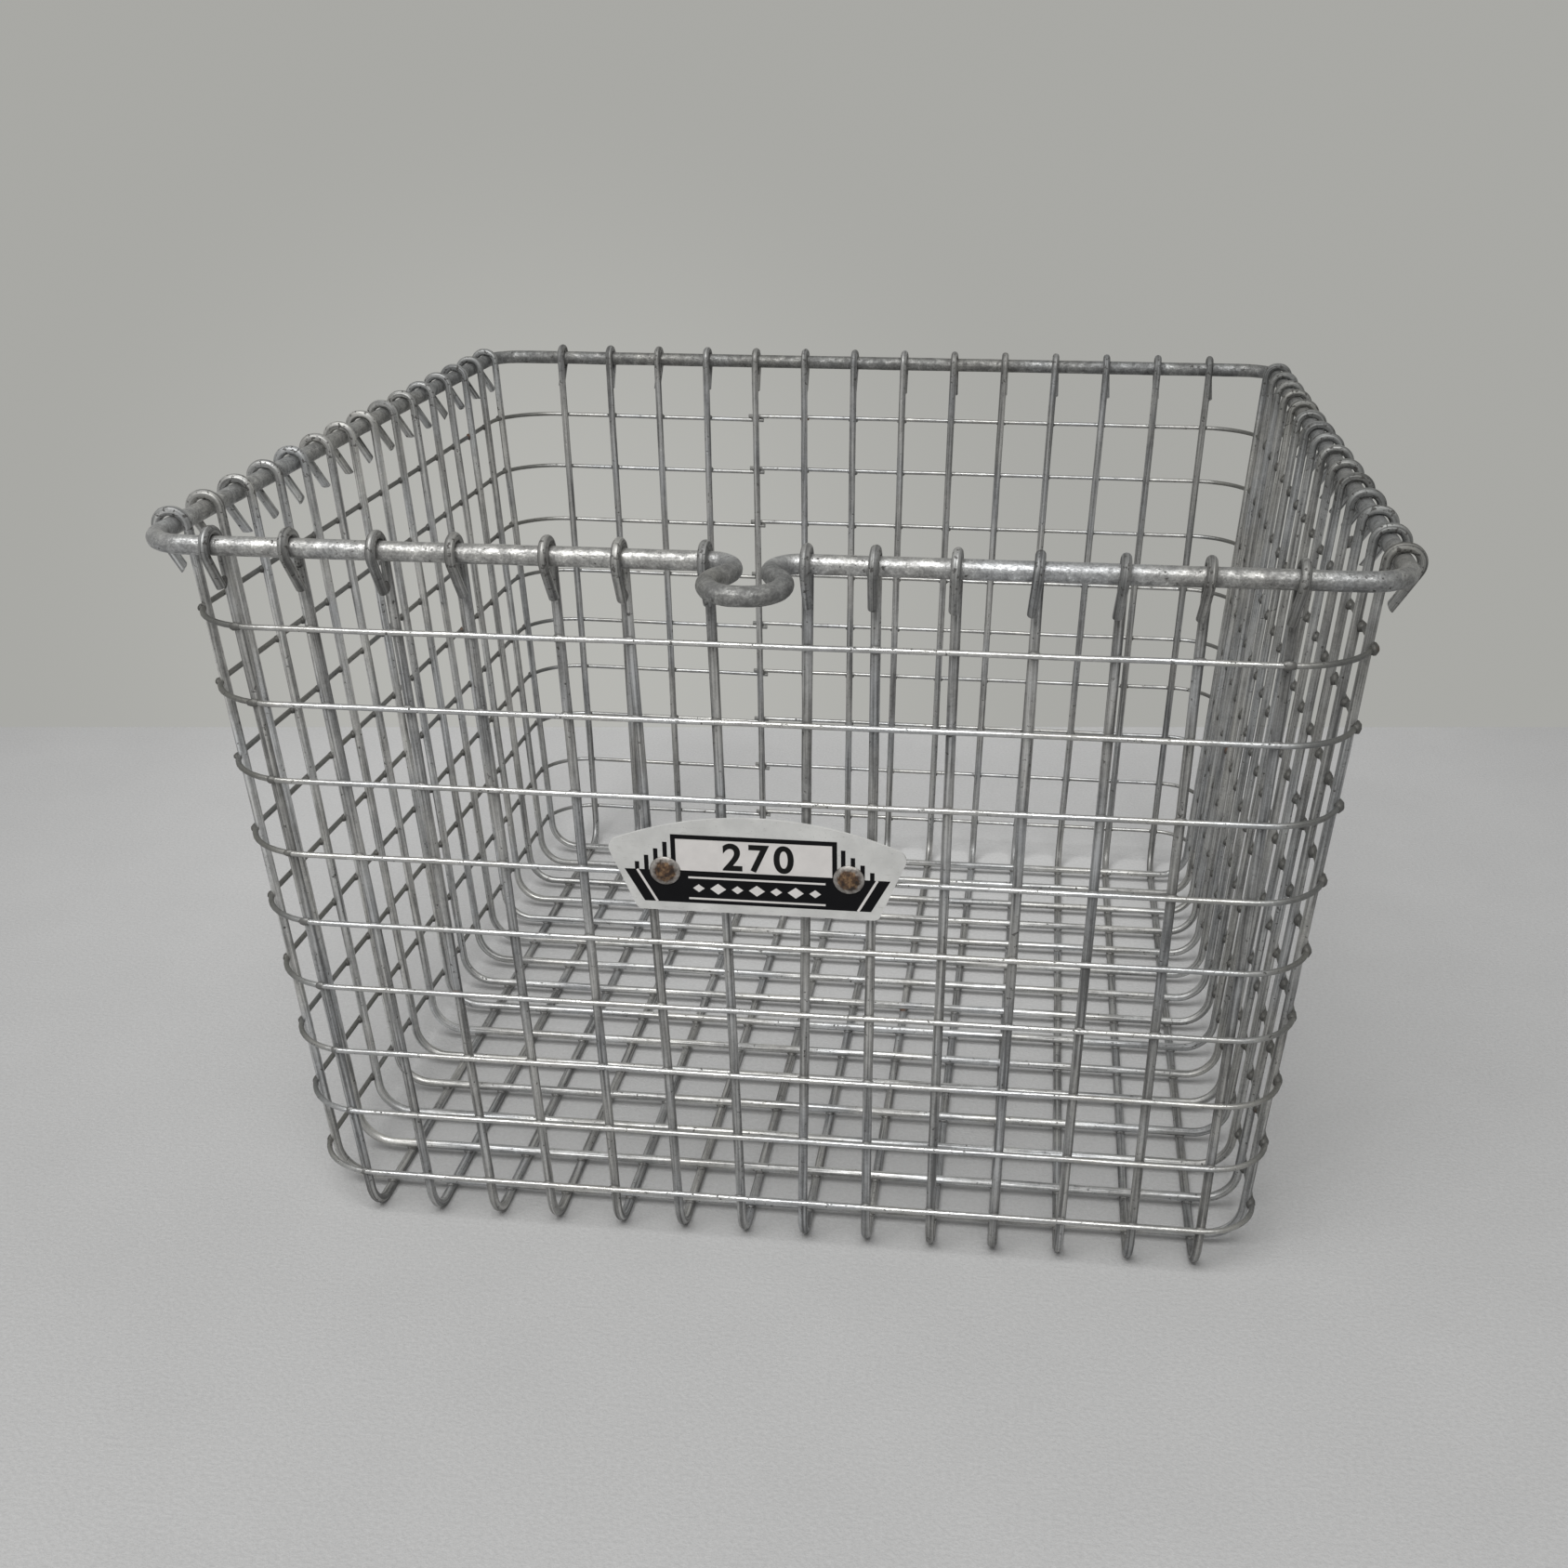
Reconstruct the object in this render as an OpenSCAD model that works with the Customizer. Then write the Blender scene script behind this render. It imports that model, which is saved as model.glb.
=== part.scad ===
// Wire locker basket with a heavy rim rod, hooked wall wires, welded hoops and a riveted number plate.
// The basket stands on z = 0 with the middle of its floor at the origin. Its front faces -y.

/* [Rim rod] */
// Outside width of the rim, left to right
rim_width = 327.6; // [290:0.1:400]
// Outside depth of the rim, front to back, without the lock loop
rim_depth = 328; // [290:1:400]
// Height of the rim rod's centre above the ground
rim_height = 214; // [180:1:280]
// Diameter of the rim rod
rod_d = 5.2; // [4:0.1:6]
// Bend radius of the rim's corners, at the rod's centre
rim_corner_r = 12.5; // [8:0.5:14]

/* [Lock loop] */
// How far the loop's middle lies to the right of the basket's middle
loop_x = 0.7; // [-8:0.1:8]
// Free gap between the loop's two shoulders
loop_neck = 4.6; // [4:0.1:7]
// Bend radius of each shoulder
shoulder_r = 6.5; // [5:0.1:8]
// Bend radius of the eye
eye_r = 8.4; // [7:0.1:10]
// Straight stretch across the front of the eye
eye_flat = 2; // [1:0.1:5]
// Straight stretch between a shoulder and the eye
eye_run = 1; // [0.6:0.1:3]
// How far the loop tilts down towards its front, in degrees
loop_tilt = 3.4; // [0:0.1:8]

/* [Wall wires] */
// Diameter of the wall wires
wire_d = 2.7; // [2:0.1:3.2]
// Lengthwise wires on each side of the lock loop
wires_per_side = 7; // [5:1:7]
// Crosswise wires
crosswise_count = 15; // [10:1:16]
// Width of the floor over its crosswise wires' corners
floor_width = 278; // [250:1:310]
// Depth of the floor over its lengthwise wires' corners
floor_depth = 290; // [250:1:310]
// Bend radius where a lengthwise wire turns from wall to floor
lengthwise_bend_r = 10; // [6:0.5:12]
// Bend radius where a crosswise wire turns from wall to floor
crosswise_bend_r = 11; // [6:0.5:12]

/* [Spacing] */
// From the rim's left end to the first front hook
front_inset_left = 21.8; // [20:0.1:40]
// From the rim's right end to the last front hook
front_inset_right = 28.8; // [20:0.1:40]
// From the rim's left end to the first back hook
back_inset_left = 31.8; // [20:0.1:40]
// From the rim's right end to the last back hook
back_inset_right = 27.8; // [20:0.1:40]
// From the rim's front to the first hook on each side rod
side_inset_front = 22; // [17:0.5:40]
// From the rim's back to the last hook on each side rod
side_inset_back = 18; // [17:0.5:40]
// From the floor's left edge to its first lengthwise wire
floor_inset_left = 17; // [14:0.5:30]
// From the floor's right edge to its last lengthwise wire
floor_inset_right = 14.5; // [14:0.5:30]
// From the floor's front and back edges to its outer crosswise wires
floor_inset_ends = 16; // [14:0.5:30]
// Free gap along the rod between a shoulder of the loop and the hook beside it
loop_hook_gap = 0.1; // [0:0.1:3]

/* [Hooks] */
// Play between a hook and the rim rod
hook_gap = 0.3; // [0.2:0.05:1]
// Straight stretch on top of a hook
hook_flat = 0.8; // [0.5:0.1:2]
// How far a hook's tail ends below the rod's centre
tail_drop = 11.5; // [9:0.5:15]
// Lean of the tail back towards the wall, in degrees
tail_lean = 33; // [15:1:34]

/* [Hoops] */
// Diameter of the hoops
hoop_d = 1.6; // [1.2:0.1:2.2]
// Hoops round the walls
hoop_count = 9; // [6:1:10]
// Bend radius of the hoops' corners
hoop_corner_r = 15; // [10:0.5:15]
// Height of the lowest hoop above the ground
hoop_low = 16.8; // [16:0.1:24]
// Distance from the rim rod's centre down to the highest hoop
hoop_top_gap = 23; // [18:0.5:30]
// Back wire, counted from the left, on which the hoops' ends lap
lap_wire = 5; // [3:1:8]
// How far each end of a hoop runs past that wire
lap_over = 3; // [2:0.5:6]

/* [Number plate] */
// Hoop that carries the plate, counted from the top
plate_hoop = 4; // [3:1:5]
// Width of the plate from tip to tip
plate_width = 82.5; // [76:0.5:90]
// Height of the plate in the middle
plate_height = 28.8; // [26:0.1:34]
// Height of the plate's tips above its lower edge
plate_tip_height = 20; // [15:0.5:22]
// Width of the plate's lower edge
plate_foot_width = 66; // [60:0.5:74]
// Rounding of the plate's tips
plate_tip_r = 3; // [1:0.5:5]
// Rounding of the plate's lower corners
plate_foot_r = 2; // [1:0.5:4]
// Thickness of the plate
plate_t = 0.8; // [0.5:0.1:1.5]
// How far the plate reaches below the hoop that carries it
plate_drop = 10.3; // [8:0.1:14]

/* [Rivets] */
// Diameter of the rivets' shanks
shank_d = 2; // [1.8:0.1:3]
// Diameter of the rivets' heads
rivet_head_d = 8.5; // [6:0.1:9]
// Height of the rivets' heads
rivet_head_h = 1.4; // [0.8:0.1:2]
// Diameter of the burrs behind the plate
burr_d = 6.4; // [5:0.1:8]
// Thickness of the burrs
burr_t = 0.9; // [0.6:0.1:1.5]
// Diameter of the rivets' clinched tails
clinch_d = 3.8; // [3:0.1:5]
// Height of the clinched tails
clinch_h = 1; // [0.6:0.1:2]
// Gap between the left burr and the wall wire beside it
burr_gap_left = 0.5; // [0.3:0.1:2]
// Gap between the right burr and the wall wire beside it
burr_gap_right = 1.2; // [0.3:0.1:2]

/* [Hidden] */
$fn = 36;
// Gap left at every weld and between pieces that touch
seat_gap = 0.05;
// Play round a rivet's shank in its holes
shank_gap = 0.1;
// Wire is this much thicker in its bends, where forming swells it
bend_swell = 0.01;
// Straight runs reach this far into the bends at their ends
run_lap = 0.2;
// How far single front hooks stray to the right of even spacing, left to right
front_stray = [0.3, -0.5, 1.3, 0.2, 2.7, -0.3, 0, 0, -3, -3, -3, -2.5, -2.3, -0.5];
// How far single lengthwise wires stray to the right of even spacing in the floor, left to right
floor_stray = [0, 0, 0, -1, 0, 0, -0.3, -1.3, -1.6, -1.6, -2.2, -2, -0.5, -0.3];
// How far single hoops stray upwards from even spacing, top to bottom
hoop_stray = [0, 0, -0.9, -1.6, -1.5, -0.8, -0.6, 0, 0];

wire_r = wire_d / 2;
rod_r = rod_d / 2;
hoop_r = hoop_d / 2;
shank_r = shank_d / 2;
lengthwise_count = 2 * wires_per_side;
rim_half_x = (rim_width - rod_d) / 2;
rim_half_y = (rim_depth - rod_d) / 2;
floor_half_x = (floor_width - wire_d) / 2;
floor_half_y = (floor_depth - wire_d) / 2;
lengthwise_z = wire_r;
crosswise_z = lengthwise_z + wire_d + seat_gap;
hook_r = rod_r + hook_gap + wire_r;

// Lean of a wall run that starts at the floor's corner and passes inside the rod at the hook's radius
function wall_lean(rim_half, floor_half, floor_z) =
  let (across = rim_half - floor_half, up = rim_height - floor_z)
  atan2(across, up) - asin(hook_r / norm([across, up]));

front_lean = wall_lean(rim_half_y, floor_half_y, lengthwise_z);
side_lean = wall_lean(rim_half_x, floor_half_x, crosswise_z);

// Distance of a wall run's centre from the basket's middle at height z
function wall_reach(z, rim_half, lean) = rim_half - hook_r / cos(lean) + (z - rim_height) * tan(lean);

function even(first, last, count, i) = first + (last - first) * (i - 1) / (count - 1);

// Places of the lengthwise wires: on the front rod, on the floor and on the back rod
loop_shoulder = loop_neck / 2 + rod_r + shoulder_r;
loop_hook_x = loop_shoulder + wire_r + loop_hook_gap;
function stray(list, i) = i <= len(list) ? list[i - 1] : 0;
function front_x(i) = stray(front_stray, i) + (i <= wires_per_side
  ? even(front_inset_left - rim_width / 2, loop_x - loop_hook_x, wires_per_side, i)
  : even(loop_x + loop_hook_x, rim_width / 2 - front_inset_right, wires_per_side, i - wires_per_side));
function floor_x(i) = stray(floor_stray, i)
  + even(floor_inset_left - floor_width / 2, floor_width / 2 - floor_inset_right, lengthwise_count, i);
function back_x(i) =
  even(back_inset_left - rim_width / 2, rim_width / 2 - back_inset_right, lengthwise_count, i);

// Places of the crosswise wires: on the side rods and on the floor
function side_y(j) =
  even(side_inset_front - rim_depth / 2, rim_depth / 2 - side_inset_back, crosswise_count, j);
function floor_y(j) =
  even(floor_inset_ends - floor_depth / 2, floor_depth / 2 - floor_inset_ends, crosswise_count, j);

// Heights of the hoops, counted from the top
function hoop_z(k) = stray(hoop_stray, k) + even(rim_height - hoop_top_gap, hoop_low, hoop_count, k);

// Place of a lengthwise wire on the front or back wall at height z
function on_wall(rim_x, low_x, z) =
  low_x + (rim_x - low_x) * (z - lengthwise_z) / (rim_height - lengthwise_z);

// Names of the wires and hoops
function two_digits(n) = n < 10 ? str("0", n) : str(n);
function lengthwise_name(i) = str("lengthwise_wire_", two_digits(i));
function crosswise_name(j) = str("crosswise_wire_", two_digits(j));
function hoop_name(k) = str("hoop_", two_digits(k));

function unit(v) = v / norm(v);
function turn_angle(a, b, c) = acos(min(1, max(-1, unit(b - a) * unit(c - b))));
function bend_tangent(a, b, c, r) = r * tan(turn_angle(a, b, c) / 2);

// A straight round bar from p to q
module bar(p, q, r) {
  v = q - p;
  translate(p)
    rotate([0, acos(v.z / norm(v)), atan2(v.y, v.x)])
      cylinder(r = r, h = norm(v));
}

// A bend of radius bend_r at corner b, on the way from a to c
module bend(a, b, c, bend_r, r) {
  along = unit(b - a);
  onward = unit(c - b);
  inward = unit(onward - (onward * along) * along);
  axis = cross(along, inward);
  centre = b - bend_tangent(a, b, c, bend_r) * along + bend_r * inward;
  multmatrix([
    [-inward.x, along.x, axis.x, centre.x],
    [-inward.y, along.y, axis.y, centre.y],
    [-inward.z, along.z, axis.z, centre.z],
    [0, 0, 0, 1]
  ])
    rotate_extrude(angle = turn_angle(a, b, c))
      translate([bend_r, 0])
        circle(r = r + bend_swell);
}

// A bent bar through the corners, where radii[i] is the bend at corner i and an open bar's ends have 0
module bent_bar(corners, radii, r, closed = false) {
  n = len(corners);
  function cut(i) = radii[i] == 0 ? 0
    : bend_tangent(corners[(i + n - 1) % n], corners[i], corners[(i + 1) % n], radii[i]) - run_lap;
  for (i = [0 : closed ? n - 1 : n - 2]) {
    p = corners[i];
    q = corners[(i + 1) % n];
    bar(p + cut(i) * unit(q - p), q - cut((i + 1) % n) * unit(q - p), r);
  }
  for (i = [0 : n - 1]) {
    if (radii[i] > 0) {
      bend(corners[(i + n - 1) % n], corners[i], corners[(i + 1) % n], radii[i], r);
    }
  }
}

// The hook at a wire's top as [outward, up] from the rod's centre: tail end, outer corner, inner corner
function hook_corners(lean) =
  let (
    tail_u = hook_flat + hook_r * cos(tail_lean),
    tail_z = -hook_r * sin(tail_lean)
  )
  [
    [tail_u - (tail_drop + tail_z) * tan(tail_lean), -tail_drop],
    [tail_u + (hook_r - tail_z) * tan(tail_lean), hook_r],
    [-hook_r / cos(lean) + hook_r * tan(lean), hook_r]
  ];

module rim_rod() {
  // The eye's bends are centred beside the middle, so that the front of the eye is flat between them
  eye_x = eye_flat / 2;
  shoulder_x = loop_shoulder;
  spread = norm([shoulder_r + eye_r, eye_run]);
  across = shoulder_x - eye_x;
  ahead = sqrt(spread * spread - across * across);
  turn = atan2(ahead, across) + asin((shoulder_r + eye_r) / spread);
  eye_front = shoulder_r + ahead + eye_r;
  shoulder_corner = shoulder_x - shoulder_r * tan(turn / 2);
  eye_corner = eye_x + eye_r * tan(turn / 2);
  z = rim_height;
  eye_y = -rim_half_y - eye_front * cos(loop_tilt);
  eye_z = z - eye_front * sin(loop_tilt);
  corners = [
    [-rim_half_x, -rim_half_y, z],
    [loop_x - shoulder_corner, -rim_half_y, z],
    [loop_x - eye_corner, eye_y, eye_z],
    [loop_x + eye_corner, eye_y, eye_z],
    [loop_x + shoulder_corner, -rim_half_y, z],
    [rim_half_x, -rim_half_y, z],
    [rim_half_x, rim_half_y, z],
    [-rim_half_x, rim_half_y, z]
  ];
  radii = [rim_corner_r, shoulder_r, eye_r, eye_r, shoulder_r, rim_corner_r, rim_corner_r, rim_corner_r];
  color("darkgray") bent_bar(corners, radii, rod_r, closed = true);
}

module lengthwise_wire(i) {
  hook = hook_corners(front_lean);
  front = [for (h = hook) [front_x(i), -rim_half_y - h[0], rim_height + h[1]]];
  back = [for (h = hook) [back_x(i), rim_half_y + h[0], rim_height + h[1]]];
  corners = concat(
    front,
    [[floor_x(i), -floor_half_y, lengthwise_z], [floor_x(i), floor_half_y, lengthwise_z]],
    [back[2], back[1], back[0]]
  );
  radii = [0, hook_r, hook_r, lengthwise_bend_r, lengthwise_bend_r, hook_r, hook_r, 0];
  color("gray") bent_bar(corners, radii, wire_r);
}

module crosswise_wire(j) {
  hook = hook_corners(side_lean);
  left = [for (h = hook) [-rim_half_x - h[0], side_y(j), rim_height + h[1]]];
  right = [for (h = hook) [rim_half_x + h[0], side_y(j), rim_height + h[1]]];
  corners = concat(
    left,
    [[-floor_half_x, floor_y(j), crosswise_z], [floor_half_x, floor_y(j), crosswise_z]],
    [right[2], right[1], right[0]]
  );
  radii = [0, hook_r, hook_r, crosswise_bend_r, crosswise_bend_r, hook_r, hook_r, 0];
  color("gray") bent_bar(corners, radii, wire_r);
}

// Half depth and half width of the hoop at height z, which lies on the outside of the wall wires
function hoop_half_y(z) =
  wall_reach(z, rim_half_y, front_lean) + (wire_r + hoop_r + seat_gap) / cos(front_lean);
function hoop_half_x(z) =
  wall_reach(z, rim_half_x, side_lean) + (wire_r + hoop_r + seat_gap) / cos(side_lean);

module hoop(k) {
  z = hoop_z(k);
  x = hoop_half_x(z);
  y = hoop_half_y(z);
  // The two ends lie one above the other across one back wire
  lap_x = on_wall(back_x(lap_wire), floor_x(lap_wire), z);
  lap_z = hoop_r + seat_gap;
  corners = [
    [lap_x + lap_over, y, z - lap_z],
    [-x, y, z],
    [-x, -y, z],
    [x, -y, z],
    [x, y, z],
    [lap_x - lap_over, y, z + lap_z]
  ];
  radii = [0, hoop_corner_r, hoop_corner_r, hoop_corner_r, hoop_corner_r, 0];
  color("silver") bent_bar(corners, radii, hoop_r);
}

// The plate's rivets rest on the hoop, just inside the wires beside the plate's ends
plate_z = hoop_z(plate_hoop);
plate_wire = wires_per_side - 1;
left_wire_x = on_wall(front_x(plate_wire), floor_x(plate_wire), plate_z);
right_wire_x = on_wall(front_x(plate_wire + 3), floor_x(plate_wire + 3), plate_z);
left_rivet_x = left_wire_x + wire_r + burr_gap_left + burr_d / 2;
right_rivet_x = right_wire_x - wire_r - burr_gap_right - burr_d / 2;
plate_x = (left_rivet_x + right_rivet_x) / 2;
rivet_x = (right_rivet_x - left_rivet_x) / 2;
rivet_y = hoop_r + seat_gap + shank_r;
plate_back = hoop_r + seat_gap;
plate_front = plate_back + plate_t;

// Puts its children on the carrying hoop, with x to the right, y up the wall and z out of it
module on_plate_hoop() {
  translate([plate_x, -hoop_half_y(plate_z), plate_z])
    rotate([90 + front_lean, 0, 0])
      children();
}

module at_rivets() {
  for (side = [-1, 1]) {
    translate([side * rivet_x, rivet_y, 0]) children();
  }
}

// Points of an arc round a centre
function arc(centre, r, from, to, steps) = [
  for (s = [0 : steps])
    let (a = from + (to - from) * s / steps)
    centre + r * [cos(a), sin(a)]
];

module plate_outline() {
  half = plate_width / 2;
  foot = plate_foot_width / 2;
  rise = plate_height - plate_tip_height;
  dome_r = (half * half + rise * rise) / (2 * rise);
  dome_centre = [0, plate_height - dome_r];
  // The slanted side leans out from the foot to the tip
  side_angle = atan2(plate_tip_height, half - foot);
  side_normal = side_angle - 90;
  side_out = [cos(side_normal), sin(side_normal)];
  // Centre of the tip's rounding, inside the slanted side and inside the dome
  inside = dome_r - plate_tip_r;
  side_base = [foot, 0] - plate_tip_r * side_out - dome_centre;
  side_dir = [cos(side_angle), sin(side_angle)];
  half_b = side_base * side_dir;
  reach = -half_b + sqrt(half_b * half_b - side_base * side_base + inside * inside);
  tip = dome_centre + side_base + reach * side_dir;
  tip_angle = atan2(tip.y - dome_centre.y, tip.x);
  foot_centre = [foot + plate_foot_r * (cos(side_angle) - 1) / sin(side_angle), plate_foot_r];
  right_half = concat(
    arc(foot_centre, plate_foot_r, -90, side_normal, 6),
    arc(tip, plate_tip_r, side_normal, tip_angle, 8),
    arc(dome_centre, dome_r, tip_angle, 90, 16)
  );
  left_half = [for (i = [len(right_half) - 2 : -1 : 0]) [-right_half[i].x, right_half[i].y]];
  polygon(concat(right_half, left_half));
}

module number_plate() {
  color("whitesmoke") on_plate_hoop() difference() {
    translate([0, -plate_drop, plate_back]) linear_extrude(plate_t) plate_outline();
    at_rivets() translate([0, 0, plate_back - 1]) cylinder(r = shank_r + shank_gap, h = plate_t + 2);
  }
}

module plate_rivets() {
  head_base = plate_front + seat_gap;
  burr_back = -hoop_r - seat_gap - burr_t;
  tail = burr_back - seat_gap;
  head_r = rivet_head_d / 2;
  dome_r = (head_r * head_r + rivet_head_h * rivet_head_h) / (2 * rivet_head_h);
  color("peru") on_plate_hoop() at_rivets() {
    cylinder(r = shank_r, h = head_base + rivet_head_h / 2);
    translate([0, 0, tail - clinch_h / 2]) cylinder(r = shank_r, h = clinch_h / 2 - tail);
    translate([0, 0, tail - clinch_h]) cylinder(r = clinch_d / 2, h = clinch_h);
    intersection() {
      translate([0, 0, head_base + rivet_head_h - dome_r]) sphere(r = dome_r, $fn = 72);
      translate([0, 0, head_base]) cylinder(r = head_r + 1, h = rivet_head_h + 1);
    }
  }
}

module rivet_burrs() {
  color("silver") on_plate_hoop() at_rivets() translate([0, 0, -hoop_r - seat_gap - burr_t]) difference() {
    cylinder(r = burr_d / 2, h = burr_t);
    translate([0, 0, -1]) cylinder(r = shank_r + shank_gap, h = burr_t + 2);
  }
}

rim_rod();
for (i = [1 : lengthwise_count]) {
  lengthwise_wire(i);
}
for (j = [1 : crosswise_count]) {
  crosswise_wire(j);
}
for (k = [1 : hoop_count]) {
  hoop(k);
}
number_plate();
plate_rivets();
rivet_burrs();
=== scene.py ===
"""The looks of a wire locker basket: zinc-coated wires, welds, a riveted number plate, and a plain studio."""

import math
import random

import bmesh
import bpy
from mathutils import Matrix, Vector, noise


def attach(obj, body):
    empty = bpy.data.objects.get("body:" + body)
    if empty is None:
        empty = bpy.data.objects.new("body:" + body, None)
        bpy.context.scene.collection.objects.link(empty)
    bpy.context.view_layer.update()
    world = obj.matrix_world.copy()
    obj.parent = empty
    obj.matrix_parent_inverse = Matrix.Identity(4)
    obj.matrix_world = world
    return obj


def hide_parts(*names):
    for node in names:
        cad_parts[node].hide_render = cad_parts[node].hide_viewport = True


# Sizes in metres, the same as the part's
RIM_WIDTH = 0.3276
RIM_DEPTH = 0.328
RIM_HEIGHT = 0.214
ROD_R = 0.0026
RIM_CORNER_R = 0.0125
LOOP_X = 0.0007
LOOP_NECK = 0.0046
SHOULDER_R = 0.0065
EYE_R = 0.0084
EYE_FLAT = 0.002
EYE_RUN = 0.001
LOOP_TILT = math.radians(3.4)
WIRE_R = 0.00135
WIRES_PER_SIDE = 7
LENGTHWISE_COUNT = 2 * WIRES_PER_SIDE
CROSSWISE_COUNT = 15
FLOOR_WIDTH = 0.278
FLOOR_DEPTH = 0.290
LENGTHWISE_BEND_R = 0.010
CROSSWISE_BEND_R = 0.011
FRONT_INSET_LEFT = 0.0218
FRONT_INSET_RIGHT = 0.0288
BACK_INSET_LEFT = 0.0318
BACK_INSET_RIGHT = 0.0278
SIDE_INSET_FRONT = 0.022
SIDE_INSET_BACK = 0.018
FLOOR_INSET_LEFT = 0.017
FLOOR_INSET_RIGHT = 0.0145
FLOOR_INSET_ENDS = 0.016
LOOP_HOOK_GAP = 0.0001
HOOK_GAP = 0.0003
TAIL_DROP = 0.0115
TAIL_LEAN = math.radians(33)
HOOP_R = 0.0008
HOOP_COUNT = 9
HOOP_LOW = 0.0168
HOOP_TOP_GAP = 0.023
LAP_WIRE = 5
LAP_OVER = 0.003
SEAT_GAP = 0.00005
PLATE_HOOP = 4
PLATE_WIDTH = 0.0825
PLATE_HEIGHT = 0.0288
PLATE_TIP_HEIGHT = 0.020
PLATE_FOOT_WIDTH = 0.066
PLATE_TIP_R = 0.003
PLATE_FOOT_R = 0.002
PLATE_T = 0.0008
PLATE_DROP = 0.0103
SHANK_R = 0.001
SHANK_GAP = 0.0001
RIVET_HEAD_R = 0.00425
RIVET_HEAD_H = 0.0014
BURR_R = 0.0032
BURR_T = 0.0009
CLINCH_R = 0.0019
CLINCH_H = 0.001
BURR_GAP_LEFT = 0.0005
BURR_GAP_RIGHT = 0.0012
# How far single front hooks stray to the right of even spacing, left to right
FRONT_STRAY = [0.0003, -0.0005, 0.0013, 0.0002, 0.0027, -0.0003, 0]
FRONT_STRAY += [0, -0.003, -0.003, -0.003, -0.0025, -0.0023, -0.0005]
# How far single lengthwise wires stray to the right of even spacing in the floor, left to right
FLOOR_STRAY = [0, 0, 0, -0.001, 0, 0, -0.0003]
FLOOR_STRAY += [-0.0013, -0.0016, -0.0016, -0.0022, -0.002, -0.0005, -0.0003]
# How far single hoops stray upwards from even spacing, top to bottom
HOOP_STRAY = [0, 0, -0.0009, -0.0016, -0.0015, -0.0008, -0.0006, 0, 0]

# How deep a weld presses a hoop into a wall wire
WELD_SINK = 0.00035
# The hooks as they look: drawn tight round the rod
TIGHT_GAP = 0.00008
TIGHT_R = ROD_R + TIGHT_GAP + WIRE_R
TIGHT_FLAT = 0.0004
# How far wires and hoops sway off their paths
WIRE_SWAY = 0.00016
HOOP_SWAY = 0.00014
# Blender's noise would otherwise start from the clock, and sway the wires in another way in each run
NOISE_SEED = 1795642776
# What keeps the lumps in the lock loop's zinc within the part's own box, and a swayed wire off the ground
LUMP_ROOM = 0.00006
GROUND_ROOM = 1.04 * WIRE_R
# Length of the lumps in a bar, and the chamfer and the flat face of its cut ends as shares of its radius
LUMP_LENGTH = 0.004
CUT_CHAMFER, CUT_FACE = 0.12, 0.86
# How uneven a weld is, and how fine its unevenness
WELD_LUMPS, WELD_GRAIN = 0.18, 900
# How far the plate's edges are softened
PLATE_SOFT = 0.00015
# How far hooks' tails stray sideways: at the front, at the back and at the sides
FRONT_TAIL_STRAY = (-0.0008, 0.0006)
BACK_TAIL_STRAY = (-0.0006, 0.0006)
SIDE_TAIL_STRAY = (-0.0007, 0.0007)
# How much of its wire's slant a front tail takes on, and how far the tails at the right lean back to the left
TAIL_FOLLOW = 0.9
TAIL_LEAN_BACK = 0.01
# Slant of the sheared ends, and share of the hooks whose nook is filled with zinc
LENGTHWISE_SLANT, LENGTHWISE_WEBS = 0.15, 0.8
CROSSWISE_SLANT, CROSSWISE_WEBS = 0.55, 0.12
# The zinc in a nook: half its length and width, its place from tail to wire, and how far up the tail it sits.
# It is dark like the welds, partly as painted shade in the nook
WEB_LENGTH, WEB_WIDTH = 0.0021, (0.0005, 0.0009)
WEB_PLACE, WEB_RISE = 0.62, 0.0012
# Points at a wire's ends that are passed over when the place on it nearest to a tail's end is looked for
TAIL_POINTS = 8
# Welds as half length, half width and half height. Those of the hoops differ from wall to wall. The big, dark
# welds on the left and right walls are partly weld beads and partly painted shade on the hoops between the
# wires
SEAT_WELD = (0.0016, 0.0016, 0.0009)
BIG_WELD = (0.0023, 0.0013, 0.0011)
WELD_LENGTH, WELD_WIDTH, WELD_HEIGHT = (0.0016, 0.0021), (0.0009, 0.0013), 0.001
LEFT_WELD_LENGTH, LEFT_WELD_WIDTH, LEFT_WELD_HEIGHT = 0.002, (0.0011, 0.0014), 0.0012
RIGHT_WELD_LENGTH, RIGHT_WELD_WIDTH, RIGHT_WELD_HEIGHT = 0.0028, (0.0014, 0.002), 0.0015
# The hoops' bends as they look: wide near the rim and narrower near the floor, most of all at the right
HOOP_BEND_TOP = 0.023
HOOP_BEND_LEFT = 0.020
HOOP_BEND_RIGHT = 0.016
# Fineness of the meshes: angle of one step in a bend, and length of one step in a straight run
BEND_STEP = math.radians(9)
RUN_STEP = 0.006
ROD_SIDES = 24
WIRE_SIDES = 14
HOOP_SIDES = 10

RIM_HALF_X = RIM_WIDTH / 2 - ROD_R
RIM_HALF_Y = RIM_DEPTH / 2 - ROD_R
FLOOR_HALF_X = FLOOR_WIDTH / 2 - WIRE_R
FLOOR_HALF_Y = FLOOR_DEPTH / 2 - WIRE_R
LENGTHWISE_Z = WIRE_R
CROSSWISE_Z = LENGTHWISE_Z + 2 * WIRE_R + SEAT_GAP
HOOK_R = ROD_R + HOOK_GAP + WIRE_R


def wall_lean(rim_half, floor_half, floor_z):
    """Lean of a wall run that starts at the floor's corner and passes inside the rod."""
    across = rim_half - floor_half
    up = RIM_HEIGHT - floor_z
    return math.atan2(across, up) - math.asin(HOOK_R / math.hypot(across, up))


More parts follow.
